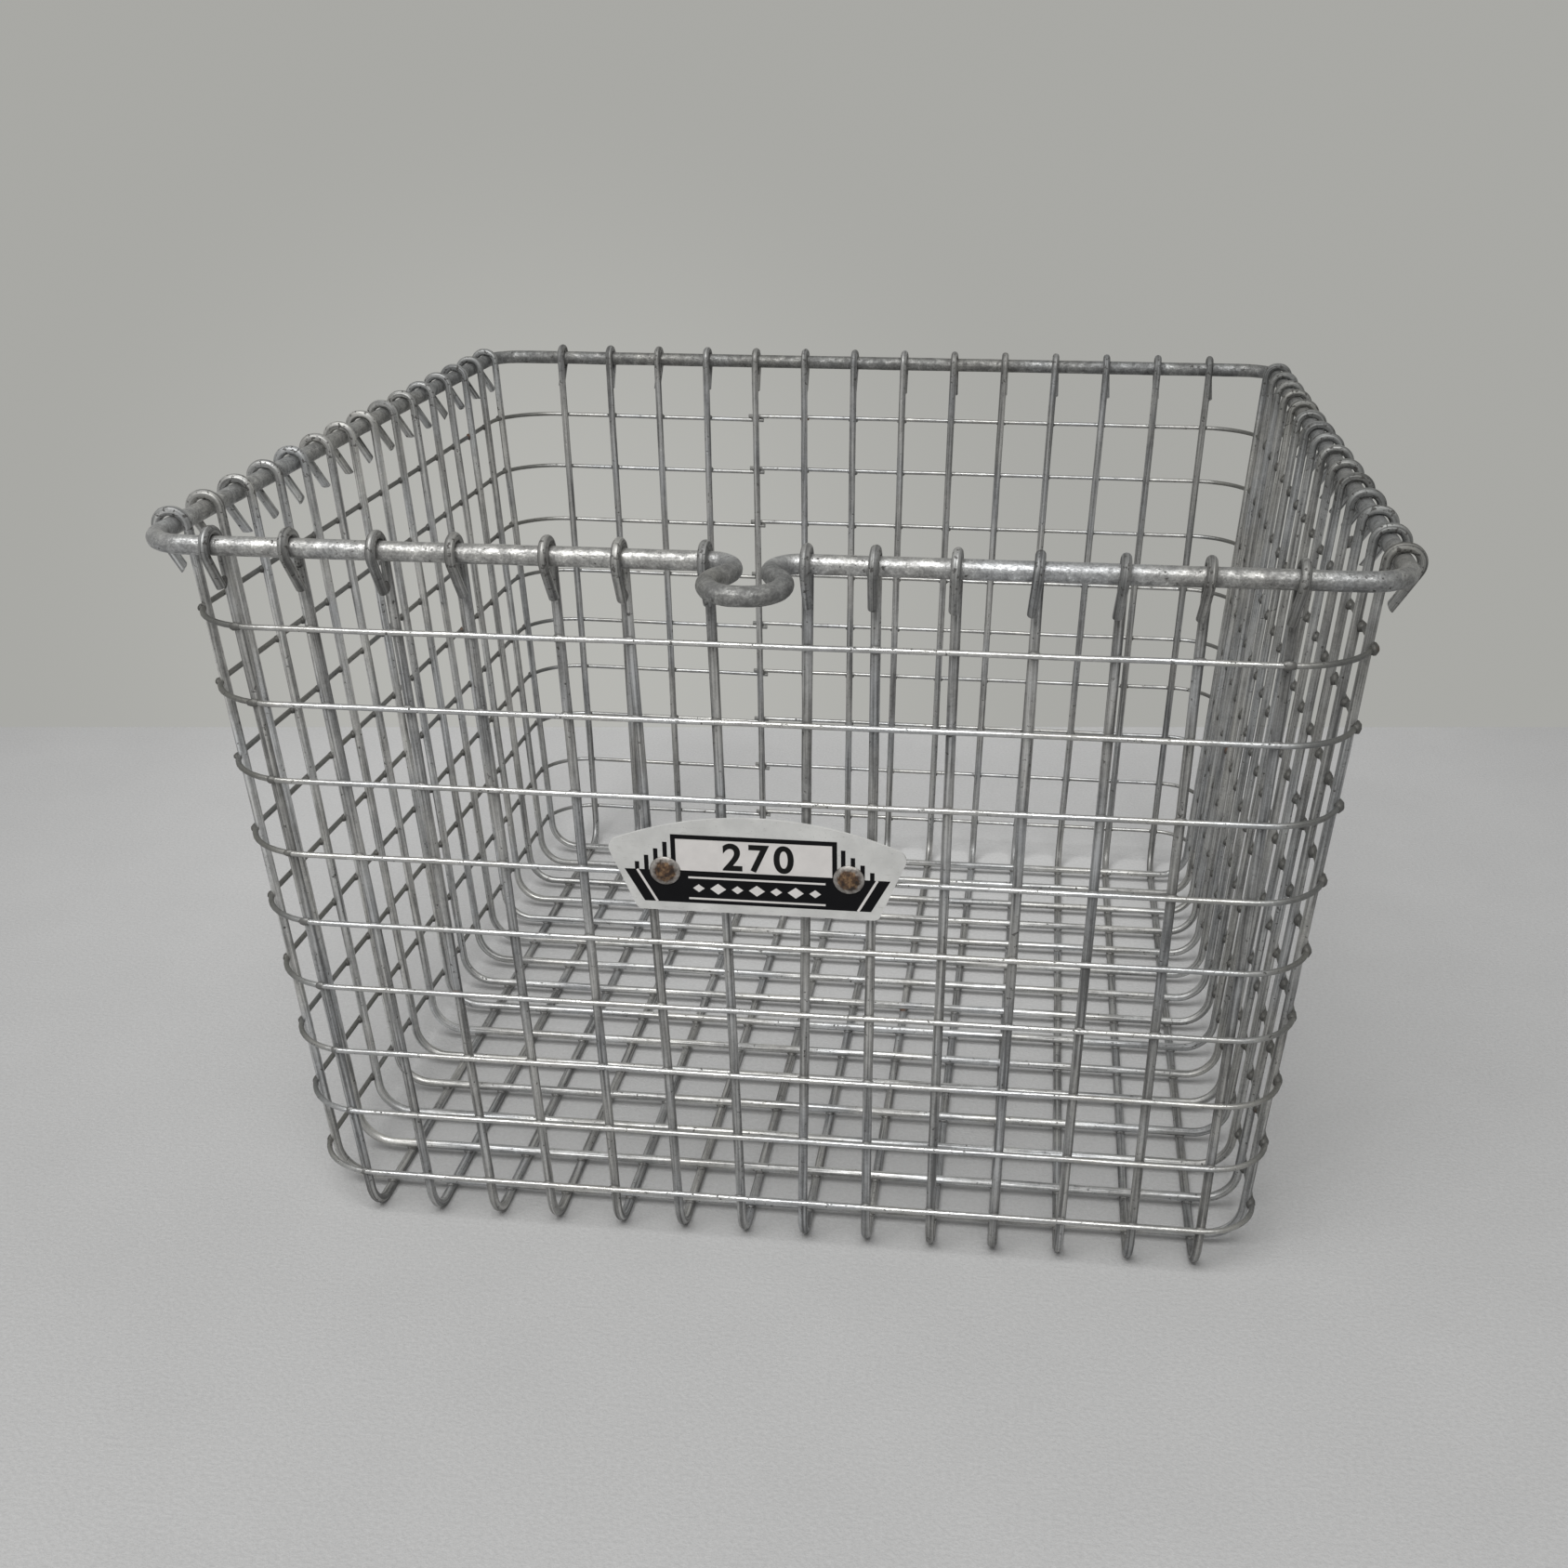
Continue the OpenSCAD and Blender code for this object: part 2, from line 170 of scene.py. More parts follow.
FRONT_LEAN = wall_lean(RIM_HALF_Y, FLOOR_HALF_Y, LENGTHWISE_Z)
SIDE_LEAN = wall_lean(RIM_HALF_X, FLOOR_HALF_X, CROSSWISE_Z)


def wall_reach(z, rim_half, lean):
    """Distance of a wall run's centre from the basket's middle at height z."""
    return rim_half - HOOK_R / math.cos(lean) + (z - RIM_HEIGHT) * math.tan(lean)


def even(first, last, count, i):
    """Place of item i, counted from 1, of a row that is spread evenly."""
    return first + (last - first) * (i - 1) / (count - 1)


LOOP_SHOULDER = LOOP_NECK / 2 + ROD_R + SHOULDER_R
LOOP_HOOK_X = LOOP_SHOULDER + WIRE_R + LOOP_HOOK_GAP


def front_x(i):
    """Place of lengthwise wire i on the front rod."""
    if i <= WIRES_PER_SIDE:
        place = even(FRONT_INSET_LEFT - RIM_WIDTH / 2, LOOP_X - LOOP_HOOK_X, WIRES_PER_SIDE, i)
    else:
        last = RIM_WIDTH / 2 - FRONT_INSET_RIGHT
        place = even(LOOP_X + LOOP_HOOK_X, last, WIRES_PER_SIDE, i - WIRES_PER_SIDE)
    return place + FRONT_STRAY[i - 1]


def floor_x(i):
    place = even(FLOOR_INSET_LEFT - FLOOR_WIDTH / 2, FLOOR_WIDTH / 2 - FLOOR_INSET_RIGHT, LENGTHWISE_COUNT, i)
    return place + FLOOR_STRAY[i - 1]


def back_x(i):
    return even(BACK_INSET_LEFT - RIM_WIDTH / 2, RIM_WIDTH / 2 - BACK_INSET_RIGHT, LENGTHWISE_COUNT, i)


def side_y(j):
    return even(SIDE_INSET_FRONT - RIM_DEPTH / 2, RIM_DEPTH / 2 - SIDE_INSET_BACK, CROSSWISE_COUNT, j)


def floor_y(j):
    return even(FLOOR_INSET_ENDS - FLOOR_DEPTH / 2, FLOOR_DEPTH / 2 - FLOOR_INSET_ENDS, CROSSWISE_COUNT, j)


def hoop_z(k):
    """Height of hoop k, counted from the top."""
    return even(RIM_HEIGHT - HOOP_TOP_GAP, HOOP_LOW, HOOP_COUNT, k) + HOOP_STRAY[k - 1]


def on_wall(rim_place, low_place, z):
    """Place of a wire along its wall at height z."""
    return low_place + (rim_place - low_place) * (z - LENGTHWISE_Z) / (RIM_HEIGHT - LENGTHWISE_Z)


def hoop_half_y(z):
    return wall_reach(z, RIM_HALF_Y, FRONT_LEAN) + (WIRE_R + HOOP_R + SEAT_GAP) / math.cos(FRONT_LEAN)


def hoop_half_x(z):
    return wall_reach(z, RIM_HALF_X, SIDE_LEAN) + (WIRE_R + HOOP_R + SEAT_GAP) / math.cos(SIDE_LEAN)


# Paths of bent bars


def bend_tangent(a, b, c, radius):
    """Distance from corner b to where its bend starts."""
    return radius * math.tan((b - a).angle(c - b) / 2)


def bent_path(corners, radii, closed=False):
    """Points along a bar that is bent at its corners, from its first end to its last."""
    corners = [Vector(c) for c in corners]
    count = len(corners)
    points = []
    for i, corner in enumerate(corners):
        if radii[i] == 0:
            points.append(corner)
            continue
        before, after = corners[i - 1], corners[(i + 1) % count]
        along, onward = (corner - before).normalized(), (after - corner).normalized()
        inward = (onward - onward.dot(along) * along).normalized()
        turn = along.angle(onward)
        start = corner - bend_tangent(before, corner, after, radii[i]) * along
        centre = start + radii[i] * inward
        steps = max(2, math.ceil(turn / BEND_STEP))
        for s in range(steps + 1):
            a = turn * s / steps
            points.append(centre + radii[i] * (math.sin(a) * along - math.cos(a) * inward))
    filled = []
    last = len(points) if closed else len(points) - 1
    for i in range(last):
        a, b = points[i], points[(i + 1) % len(points)]
        steps = max(1, round((b - a).length / RUN_STEP))
        filled += [a.lerp(b, s / steps) for s in range(steps)]
    if not closed:
        filled.append(points[-1])
    return filled


def hook_corners(lean):
    """A wire's hook as (outward, up) from the rod's centre: tail end, outer corner, inner corner."""
    tail_u = TIGHT_FLAT + TIGHT_R * math.cos(TAIL_LEAN)
    tail_z = -TIGHT_R * math.sin(TAIL_LEAN)
    return [
        (tail_u - (TAIL_DROP + tail_z) * math.tan(TAIL_LEAN), -TAIL_DROP),
        (tail_u + (TIGHT_R - tail_z) * math.tan(TAIL_LEAN), TIGHT_R),
        (-HOOK_R / math.cos(lean) + TIGHT_R * math.tan(lean), TIGHT_R),
    ]


def sway(points, amount, seed, reach=0.045):
    """Moves the points a little off their path, as hand-fed wire is never quite straight."""
    swayed = []
    run = 0
    for i, p in enumerate(points):
        if i:
            run += (p - points[i - 1]).length
        moved = p + amount * noise.noise_vector(Vector((run / reach, seed * 7.3, 0.5)))
        moved.z = max(moved.z, GROUND_ROOM)
        swayed.append(moved)
    return swayed


# Meshes


class Metalwork:
    """A mesh of bars and welds, with what its zinc needs to know about each point."""

    def __init__(self):
        self.bm = bmesh.new()
        self.lay = self.bm.verts.layers.float_vector.new("lay")
        self.weld = self.bm.verts.layers.float.new("weld")

    def bar(self, points, radius, sides, seed, closed=False, lumps=0.03, slant=0.0):
        """Sweeps a round bar along the points. Its ends are sheared off at a slant, with a small chamfer."""
        bm = self.bm
        count = len(points)
        tangents = []
        for i in range(count):
            before = points[i - 1] if i or closed else points[0]
            after = points[(i + 1) % count] if i < count - 1 or closed else points[-1]
            tangents.append((after - before).normalized())
        normal = tangents[0].orthogonal().normalized()
        rings = []
        run = 0
        for i, p in enumerate(points):
            if i:
                run += (p - points[i - 1]).length
                normal = tangents[i - 1].rotation_difference(tangents[i]) @ normal
            side = tangents[i].cross(normal)
            ring = []
            for s in range(sides):
                a = math.tau * s / sides
                around = Vector((math.cos(a), math.sin(a), run / LUMP_LENGTH + seed * 5.1))
                swell = 1 + lumps * noise.noise(around)
                place = p + radius * swell * (math.cos(a) * normal + math.sin(a) * side)
                if not closed and i in (0, count - 1):
                    place += slant * radius * math.cos(a + seed * 1.7 + i) * tangents[i]
                vert = bm.verts.new(place)
                vert[self.lay] = Vector((math.cos(a) * radius, math.sin(a) * radius, run + seed * 0.37))
                ring.append(vert)
            rings.append(ring)
        pairs = list(zip(rings, rings[1:]))
        if closed:
            pairs.append((rings[-1], rings[0]))
        for low, high in pairs:
            for s in range(sides):
                t = (s + 1) % sides
                bm.faces.new((low[s], low[t], high[t], high[s])).smooth = True
        if not closed:
            self.cut_end(rings[0], points[0], -tangents[0], radius, flip=True)
            self.cut_end(rings[-1], points[-1], tangents[-1], radius, flip=False)

    def cut_end(self, ring, centre, outward, radius, flip):
        """Closes a bar's end with a narrow chamfer and a flat cut."""
        chamfer = CUT_CHAMFER * radius
        inner = []
        for vert in ring:
            new = self.bm.verts.new(centre + (vert.co - centre) * CUT_FACE + outward * chamfer)
            new[self.lay] = vert[self.lay]
            inner.append(new)
        sides = len(ring)
        for s in range(sides):
            t = (s + 1) % sides
            quad = (ring[t], ring[s], inner[s], inner[t]) if flip else (ring[s], ring[t], inner[t], inner[s])
            self.bm.faces.new(quad).smooth = False
        self.bm.faces.new(inner[::-1] if flip else inner).smooth = False

    def blob(self, centre, along, outward, size, seed):
        """A drop of melted metal: size is its half length along, its half width and its half height."""
        along = along.normalized()
        outward = (outward - outward.dot(along) * along).normalized()
        across = outward.cross(along)
        turn = Matrix((along, across, outward)).transposed().to_4x4()
        place = Matrix.Translation(centre) @ turn @ Matrix.Diagonal((*size, 1))
        made = bmesh.ops.create_icosphere(self.bm, subdivisions=2, radius=1, matrix=place)
        for vert in made["verts"]:
            away = vert.co - centre
            vert.co += WELD_LUMPS * away * noise.noise(away * WELD_GRAIN + Vector((seed, 0, 0)))
            vert[self.lay] = vert.co.copy()
            vert[self.weld] = 1
            for face in vert.link_faces:
                face.smooth = True

    def finish(self, name, material, slot, *nodes):
        """Makes the object and lets it stand for the CAD nodes."""
        mesh = bpy.data.meshes.new(name)
        self.bm.to_mesh(mesh)
        self.bm.free()
        mesh.materials.append(material)
        piece = bpy.data.objects.new(name, mesh)
        bpy.context.scene.collection.objects.link(piece)
        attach(piece, "root")
        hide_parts(*nodes)


# Materials


class Shader:
    """A node tree with short calls for what the materials here use."""

    def __init__(self, name):
        self.material = bpy.data.materials.new(name)
        self.material.use_nodes = True
        self.tree = self.material.node_tree
        self.shader = self.tree.nodes["Principled BSDF"]

    def set(self, **inputs):
        for name, value in inputs.items():
            socket = self.shader.inputs[name.replace("_", " ")]
            if isinstance(value, bpy.types.NodeSocket):
                self.tree.links.new(value, socket)
            else:
                socket.default_value = value

    def node(self, kind, **settings):
        made = self.tree.nodes.new(kind)
        for name, value in settings.items():
            setattr(made, name, value)
        return made

    def link(self, source, socket):
        self.tree.links.new(source, socket)

    def object_place(self):
        return self.node("ShaderNodeTexCoord").outputs["Object"]

    def attribute(self, name, output="Vector"):
        return self.node("ShaderNodeAttribute", attribute_name=name).outputs[output]

    def scaled(self, vector, scale):
        made = self.node("ShaderNodeMapping")
        made.inputs["Scale"].default_value = scale
        self.link(vector, made.inputs["Vector"])
        return made.outputs["Vector"]

    def noise(self, vector, scale, detail=4, roughness=0.55, distortion=0):
        made = self.node("ShaderNodeTexNoise")
        made.inputs["Scale"].default_value = scale
        made.inputs["Detail"].default_value = detail
        made.inputs["Roughness"].default_value = roughness
        made.inputs["Distortion"].default_value = distortion
        self.link(vector, made.inputs["Vector"])
        return made.outputs["Fac"]

    def ramp(self, value, stops):
        """A colour ramp: stops are (place, grey or colour)."""
        made = self.node("ShaderNodeValToRGB")
        points = made.color_ramp.elements
        while len(points) < len(stops):
            points.new(0.5)
        for point, (place, colour) in zip(points, stops):
            point.position = place
            point.color = (colour, colour, colour, 1) if isinstance(colour, (int, float)) else (*colour, 1)
        self.link(value, made.inputs["Fac"])
        return made.outputs["Color"]

    def spread(self, value, low, high, to_low=0.0, to_high=1.0):
        made = self.node("ShaderNodeMapRange")
        for name, number in (("From Min", low), ("From Max", high), ("To Min", to_low), ("To Max", to_high)):
            made.inputs[name].default_value = number
        self.link(value, made.inputs["Value"])
        return made.outputs["Result"]

    def axis(self, vector, name):
        made = self.node("ShaderNodeSeparateXYZ")
        self.link(vector, made.inputs["Vector"])
        return made.outputs[name]

    def maths(self, operation, a, b):
        made = self.node("ShaderNodeMath", operation=operation)
        for socket, value in zip(made.inputs, (a, b)):
            if isinstance(value, bpy.types.NodeSocket):
                self.link(value, socket)
            else:
                socket.default_value = value
        return made.outputs["Value"]

    def mix(self, factor, a, b, blend="MIX"):
        made = self.node("ShaderNodeMix", data_type="RGBA", blend_type=blend)
        for socket, value in ((made.inputs[0], factor), (made.inputs[6], a), (made.inputs[7], b)):
            if isinstance(value, bpy.types.NodeSocket):
                self.link(value, socket)
            elif isinstance(value, tuple):
                socket.default_value = (*value, 1)
            else:
                socket.default_value = value
        return made.outputs[2]

    def bump(self, height, strength, distance):
        made = self.node("ShaderNodeBump")
        made.inputs["Strength"].default_value = strength
        made.inputs["Distance"].default_value = distance
        self.link(height, made.inputs["Height"])
        return made.outputs["Normal"]


# Where the zinc is painted darker, as places along an axis from where the darkening starts to where it is
# full.
# Towards the back, at the right and on the hoops' side runs it is painted shade. At the hooks it is partly
# duller zinc and partly painted shade, and round the lock loop it is only darker
SHADED_BACK = 0.16
SHADED_RIGHT = (0.07, 0.15)
DARKER_LOOP = (-0.166, -0.171)
SHADED_AND_AGED_HOOKS = (0.203, 0.212)
SHADED_SIDES = (0.129, 0.141)
# Colours of the painted darkening and of the zinc's faults. The first multiplies the zinc's own colour where
# it is painted darker
SHADE_AND_AGE_TINT = (0.34, 0.34, 0.325)
SPECK_COLOUR = (0.03, 0.027, 0.023)
# The weld colour also darkens the zinc blobs in the hooks' nooks and the big side-wall welds, partly as
# painted shade
WELD_AND_SHADE_COLOUR = (0.07, 0.068, 0.062)
RUST_COLOUR = (0.12, 0.055, 0.028)


def zinc(name, shades, shine, patch, streaks, metal, rough, hooks=0.0, sides=0.0, far=1.0, near=-0.02):
    """Zinc-coated steel: dull oxide with bright spangles, streaks along the wire, specks and a little rust.

    shades run from dull to bright; shine, metal and rough are (low, high). patch is the spangles' size, and
    streaks the share of the streaks. hooks, sides and far say how much darker the zinc is painted at the
    hooks, on the left and right walls, and towards the back, starting from the place near. This darkening is
    painted shade, and at the hooks partly duller zinc.
    """
    s = Shader(name)
    place = s.object_place()
    lay = s.attribute("lay")
    clouds = s.noise(place, 1 / patch, detail=5, roughness=0.65, distortion=0.5)
    fine = s.noise(place, 1500, detail=4, roughness=0.65)
    lines = s.noise(s.scaled(lay, (1300, 1300, 28)), 1, detail=3)
    mottle = s.maths("ADD", s.maths("MULTIPLY", clouds, 0.6), s.maths("MULTIPLY", fine, 0.4))
    grain = s.maths("ADD", s.maths("MULTIPLY", mottle, 1 - streaks), s.maths("MULTIPLY", lines, streaks))
    bright = s.spread(grain, *shine)
    colour = s.ramp(bright, list(zip((0, 0.35, 0.7, 1), shades)))
    tint = s.ramp(s.noise(place, 26, detail=3), [(0.42, (1.0, 0.992, 0.96)), (0.62, (0.965, 0.982, 1.0))])
    colour = s.mix(1.0, colour, tint, blend="MULTIPLY")
    across, ahead = s.axis(place, "X"), s.axis(place, "Y")
    # Painted shade: darker towards the back, at the right, on the hoops' side runs and at the hooks, where it
    # is partly duller zinc; also darker round the lock loop
    top = s.spread(s.axis(place, "Z"), *SHADED_AND_AGED_HOOKS, 0, hooks)
    shade_and_age = s.maths("MAXIMUM", s.spread(ahead, near, SHADED_BACK, 0, far), s.spread(across, *SHADED_RIGHT, 0, 1.3))
    shade_and_age = s.maths("MAXIMUM", shade_and_age, s.spread(ahead, *DARKER_LOOP, 0, 1.5))
    shade_and_age = s.maths("ADD", shade_and_age, top)
    shade_and_age = s.maths("MAXIMUM", shade_and_age, s.spread(s.maths("ABSOLUTE", across, 0), *SHADED_SIDES, 0, sides))
    # Painted shade: the zinc's colour, darkened by the mask above
    worn = s.mix(1.0, colour, SHADE_AND_AGE_TINT, blend="MULTIPLY")
    colour = s.mix(s.maths("MULTIPLY", shade_and_age, 0.38), colour, worn)
    specks = s.maths("ADD", s.noise(place, 800, detail=3), s.maths("MULTIPLY", top, 0.06))
    rare = s.maths("MAXIMUM", s.spread(s.noise(place, 90, detail=2), 0.4, 0.55), top)
    specks = s.maths("MULTIPLY", s.maths("MULTIPLY", s.spread(specks, 0.63, 0.69), rare), 0.85)
    colour = s.mix(specks, colour, SPECK_COLOUR)
    weld = s.attribute("weld", "Fac")
    # Welds are painted dark; on the side walls and in the hooks' nooks this is partly painted shade
    colour = s.mix(s.maths("MULTIPLY", weld, 0.75), colour, WELD_AND_SHADE_COLOUR)
    rust = s.maths("MULTIPLY", s.spread(s.noise(place, 55, detail=5), 0.66, 0.72), weld)
    colour = s.mix(rust, colour, RUST_COLOUR)
    dull = s.maths("MAXIMUM", s.maths("MAXIMUM", rust, specks), s.maths("MULTIPLY", weld, 0.5))
    gleam = s.maths("MULTIPLY", s.spread(bright, 0, 1, *metal), s.maths("SUBTRACT", 1.0, dull))
    matt = s.maths("ADD", s.spread(bright, 0, 1, *rough), s.maths("MULTIPLY", dull, 0.15))
    matt = s.maths("ADD", matt, s.maths("MULTIPLY", shade_and_age, 0.08))
    height = s.maths("ADD", s.maths("MULTIPLY", grain, 1.6), s.maths("MULTIPLY", specks, -0.5))
    s.set(Base_Color=colour, Metallic=gleam, Roughness=matt, Normal=s.bump(height, 0.6, 0.0004))
    return s.material


def plate_metal():
    """Satin sheet with a fine tooth and a few scuffs."""
    s = Shader("plate_metal")
    place = s.object_place()
    fine = s.noise(place, 1500, detail=3)
    scuff = s.spread(s.noise(s.scaled(place, (300, 300, 1400)), 1, detail=4), 0.6, 0.75)
    colour = s.ramp(s.noise(place, 120, detail=5), [(0.3, (0.55, 0.55, 0.535)), (0.7, (0.69, 0.69, 0.67))])
    colour = s.mix(s.maths("MULTIPLY", scuff, 0.4), colour, (0.4, 0.39, 0.37))
    colour = s.mix(s.spread(s.noise(place, 2300, detail=2), 0.66, 0.76, 0, 0.5), colour, (0.2, 0.2, 0.19))
    s.set(Base_Color=colour, Metallic=0.2)
    s.set(Roughness=s.spread(fine, 0.3, 0.7, 0.4, 0.55), Normal=s.bump(fine, 0.15, 0.0001))
    return s.material


def paint(name, colour, worn, gloss):
    """Printed enamel with fine pin holes and a faint cloudiness."""
    s = Shader(name)
    s.set(Specular_IOR_Level=gloss)
    place = s.object_place()
    cloud = s.noise(place, 180, detail=5)
    pins = s.spread(s.noise(place, 2600, detail=2), 0.7, 0.78)
    shade = s.ramp(cloud, [(0.3, tuple(c * 0.88 for c in colour)), (0.7, colour)])
    s.set(Base_Color=s.mix(s.maths("MULTIPLY", pins, 0.5), shade, worn))
    s.set(Roughness=s.spread(cloud, 0.3, 0.7, 0.36, 0.5), Normal=s.bump(cloud, 0.1, 0.0001))
    return s.material


def rivet_metal():
    """Dull plated heads, rusty in the middle."""
    s = Shader("rivet_metal")
    place = s.object_place()
    centre = s.attribute("lay")
    made = s.node("ShaderNodeVectorMath", operation="LENGTH")
    s.link(centre, made.inputs[0])
    from_centre = made.outputs["Value"]
    ragged = s.maths("ADD", from_centre, s.maths("MULTIPLY", s.noise(place, 900, detail=5), 0.0022))
    rust = s.spread(ragged, 0.0048, 0.0038)
    mottle = s.noise(place, 750, detail=5)
    metal = s.ramp(mottle, [(0.35, (0.27, 0.25, 0.23)), (0.6, (0.46, 0.44, 0.42))])
    dark, middle, pale = (0.022, 0.012, 0.007), (0.07, 0.036, 0.018), (0.2, 0.12, 0.06)
    brown = s.ramp(mottle, [(0.4, dark), (0.52, middle), (0.66, pale)])
    s.set(Base_Color=s.mix(rust, metal, brown))
    s.set(Metallic=s.maths("SUBTRACT", 0.8, s.maths("MULTIPLY", rust, 0.7)))
    s.set(Roughness=s.spread(mottle, 0.3, 0.7, 0.38, 0.62), Normal=s.bump(mottle, 0.5, 0.0003))
    return s.material


ZINC_ROD = zinc(
    "zinc_rod",
    shades=(0.22, 0.35, 0.53, 0.88),
    shine=(0.41, 0.64),
    patch=0.0035,
    streaks=0.12,
    metal=(0.5, 0.95),
    rough=(0.5, 0.34),
    far=1.8,
    near=-0.15,
)
# The lengthwise and crosswise wires are one zinc wire in lit and shaded copies. The lengthwise copy is
# darker, as painted shade
ZINC_WIRE = zinc(
    "zinc_wire",
    shades=(0.13, 0.26, 0.4, 0.58),
    shine=(0.39, 0.61),
    patch=0.006,
    streaks=0.7,
    metal=(0.35, 0.75),
    rough=(0.58, 0.42),
    hooks=0.9,
    far=0.0,
)
# The crosswise copy has lighter shades as painted light: these wires lie across the light and catch its
# highlights
ZINC_WIRE_LIT = zinc(
    "zinc_wire_lit",
    shades=(0.21, 0.39, 0.59, 0.84),
    shine=(0.38, 0.61),
    patch=0.006,
    streaks=0.66,
    metal=(0.5, 0.9),
    rough=(0.5, 0.36),
    hooks=1.0,
)
ZINC_HOOP = zinc(
    "zinc_hoop",
    shades=(0.3, 0.43, 0.56, 0.72),
    shine=(0.33, 0.62),
    patch=0.006,
    streaks=0.35,
    metal=(0.7, 1.0),
    rough=(0.4, 0.25),
    sides=2.3,
    far=0.9,
)


# Start of the making

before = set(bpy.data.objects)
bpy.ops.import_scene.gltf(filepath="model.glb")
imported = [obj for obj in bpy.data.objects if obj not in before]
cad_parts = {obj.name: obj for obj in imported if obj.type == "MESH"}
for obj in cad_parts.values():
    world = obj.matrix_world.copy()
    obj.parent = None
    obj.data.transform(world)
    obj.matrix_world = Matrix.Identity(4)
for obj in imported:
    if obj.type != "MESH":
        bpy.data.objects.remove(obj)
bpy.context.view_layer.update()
random.seed(4)
noise.seed_set(NOISE_SEED)


def make_rim_rod():
    """The rim rod, with the lock loop bent into its front."""
    eye_x = EYE_FLAT / 2
    spread = math.hypot(SHOULDER_R + EYE_R, EYE_RUN)
    across = LOOP_SHOULDER - eye_x
    ahead = math.sqrt(spread**2 - across**2)
    turn = math.atan2(ahead, across) + math.asin((SHOULDER_R + EYE_R) / spread)
    eye_front = SHOULDER_R + ahead + EYE_R - LUMP_ROOM
    shoulder_corner = LOOP_SHOULDER - SHOULDER_R * math.tan(turn / 2)
    eye_corner = eye_x + EYE_R * math.tan(turn / 2)
    z = RIM_HEIGHT
    eye_y = -RIM_HALF_Y - eye_front * math.cos(LOOP_TILT)
    eye_z = z - eye_front * math.sin(LOOP_TILT)
    corners = [
        (-RIM_HALF_X, -RIM_HALF_Y, z),
        (LOOP_X - shoulder_corner, -RIM_HALF_Y, z),
        (LOOP_X - eye_corner, eye_y, eye_z),
        (LOOP_X + eye_corner, eye_y, eye_z),
        (LOOP_X + shoulder_corner, -RIM_HALF_Y, z),
        (RIM_HALF_X, -RIM_HALF_Y, z),
        (RIM_HALF_X, RIM_HALF_Y, z),
        (-RIM_HALF_X, RIM_HALF_Y, z),
    ]
    radii = [RIM_CORNER_R, SHOULDER_R, EYE_R, EYE_R, SHOULDER_R, RIM_CORNER_R, RIM_CORNER_R, RIM_CORNER_R]
    work = Metalwork()
    work.bar(bent_path(corners, radii, closed=True), ROD_R, ROD_SIDES, 1, closed=True, lumps=0.035)
    work.finish("rim_rod_look", ZINC_ROD, "zinc_rod", "rim_rod")


def hooked_wire(near, far, floor_near, floor_far, bend_r, seed):
    """Points of a wire that is hooked at both its ends. near and far are its hooks' corners."""
    corners = near + [floor_near, floor_far] + far[::-1]
    radii = [0, TIGHT_R, TIGHT_R, bend_r, bend_r, TIGHT_R, TIGHT_R, 0]
    return sway(bent_path(corners, radii), WIRE_SWAY, seed)


def tail_web(work, points, share, seed):
    """The zinc that fills the nook between some hooks' tails and their wire, dark like the welds: partly
    zinc, partly painted shade in the nook. share is how often it does.
    """
    for tip, inner in ((points[0], points[1]), (points[-1], points[-2])):
        if random.random() > share:
            continue
        lean = (tip - inner).normalized()
        wire = min(points[TAIL_POINTS:-TAIL_POINTS], key=lambda p: (p - tip).length)
        middle = tip.lerp(wire, WEB_PLACE) - WEB_RISE * lean
        size = (WEB_LENGTH, random.uniform(*WEB_WIDTH), 0.5 * (tip - wire).length)
        work.blob(middle, lean, tip - wire, size, seed)


def hook(outward, along, start, lean, drift):
    """Corners of a hook in space. drift moves the tail sideways, along the rod."""
    up = Vector((0, 0, 1))
    corners = [start + out * outward + high * up for out, high in hook_corners(lean)]
    corners[0] += drift * along
    return corners


def make_lengthwise_wire(i):
    """A wire that runs from the front rod, down and along the floor, to the back rod."""
    right = Vector((1, 0, 0))
    front_drift = TAIL_FOLLOW * TAIL_DROP * (floor_x(i) - front_x(i)) / RIM_HEIGHT
    front_drift += random.uniform(*FRONT_TAIL_STRAY)
    front_drift -= TAIL_LEAN_BACK * max(front_x(i), 0)
    back_drift = random.uniform(*BACK_TAIL_STRAY)
    front_start = Vector((front_x(i), -RIM_HALF_Y, RIM_HEIGHT))
    back_start = Vector((back_x(i), RIM_HALF_Y, RIM_HEIGHT))
    front = hook(Vector((0, -1, 0)), right, front_start, FRONT_LEAN, front_drift)
    back = hook(Vector((0, 1, 0)), right, back_start, FRONT_LEAN, back_drift)
    floor_near = Vector((floor_x(i), -FLOOR_HALF_Y, LENGTHWISE_Z))
    floor_far = Vector((floor_x(i), FLOOR_HALF_Y, LENGTHWISE_Z))
    work = Metalwork()
    points = hooked_wire(front, back, floor_near, floor_far, LENGTHWISE_BEND_R, i)
    work.bar(points, WIRE_R, WIRE_SIDES, i, slant=LENGTHWISE_SLANT)
    tail_web(work, points, LENGTHWISE_WEBS, i)
    node = f"lengthwise_wire_{i:02d}"
    work.finish(f"{node}_look", ZINC_WIRE, "zinc_wire", node)


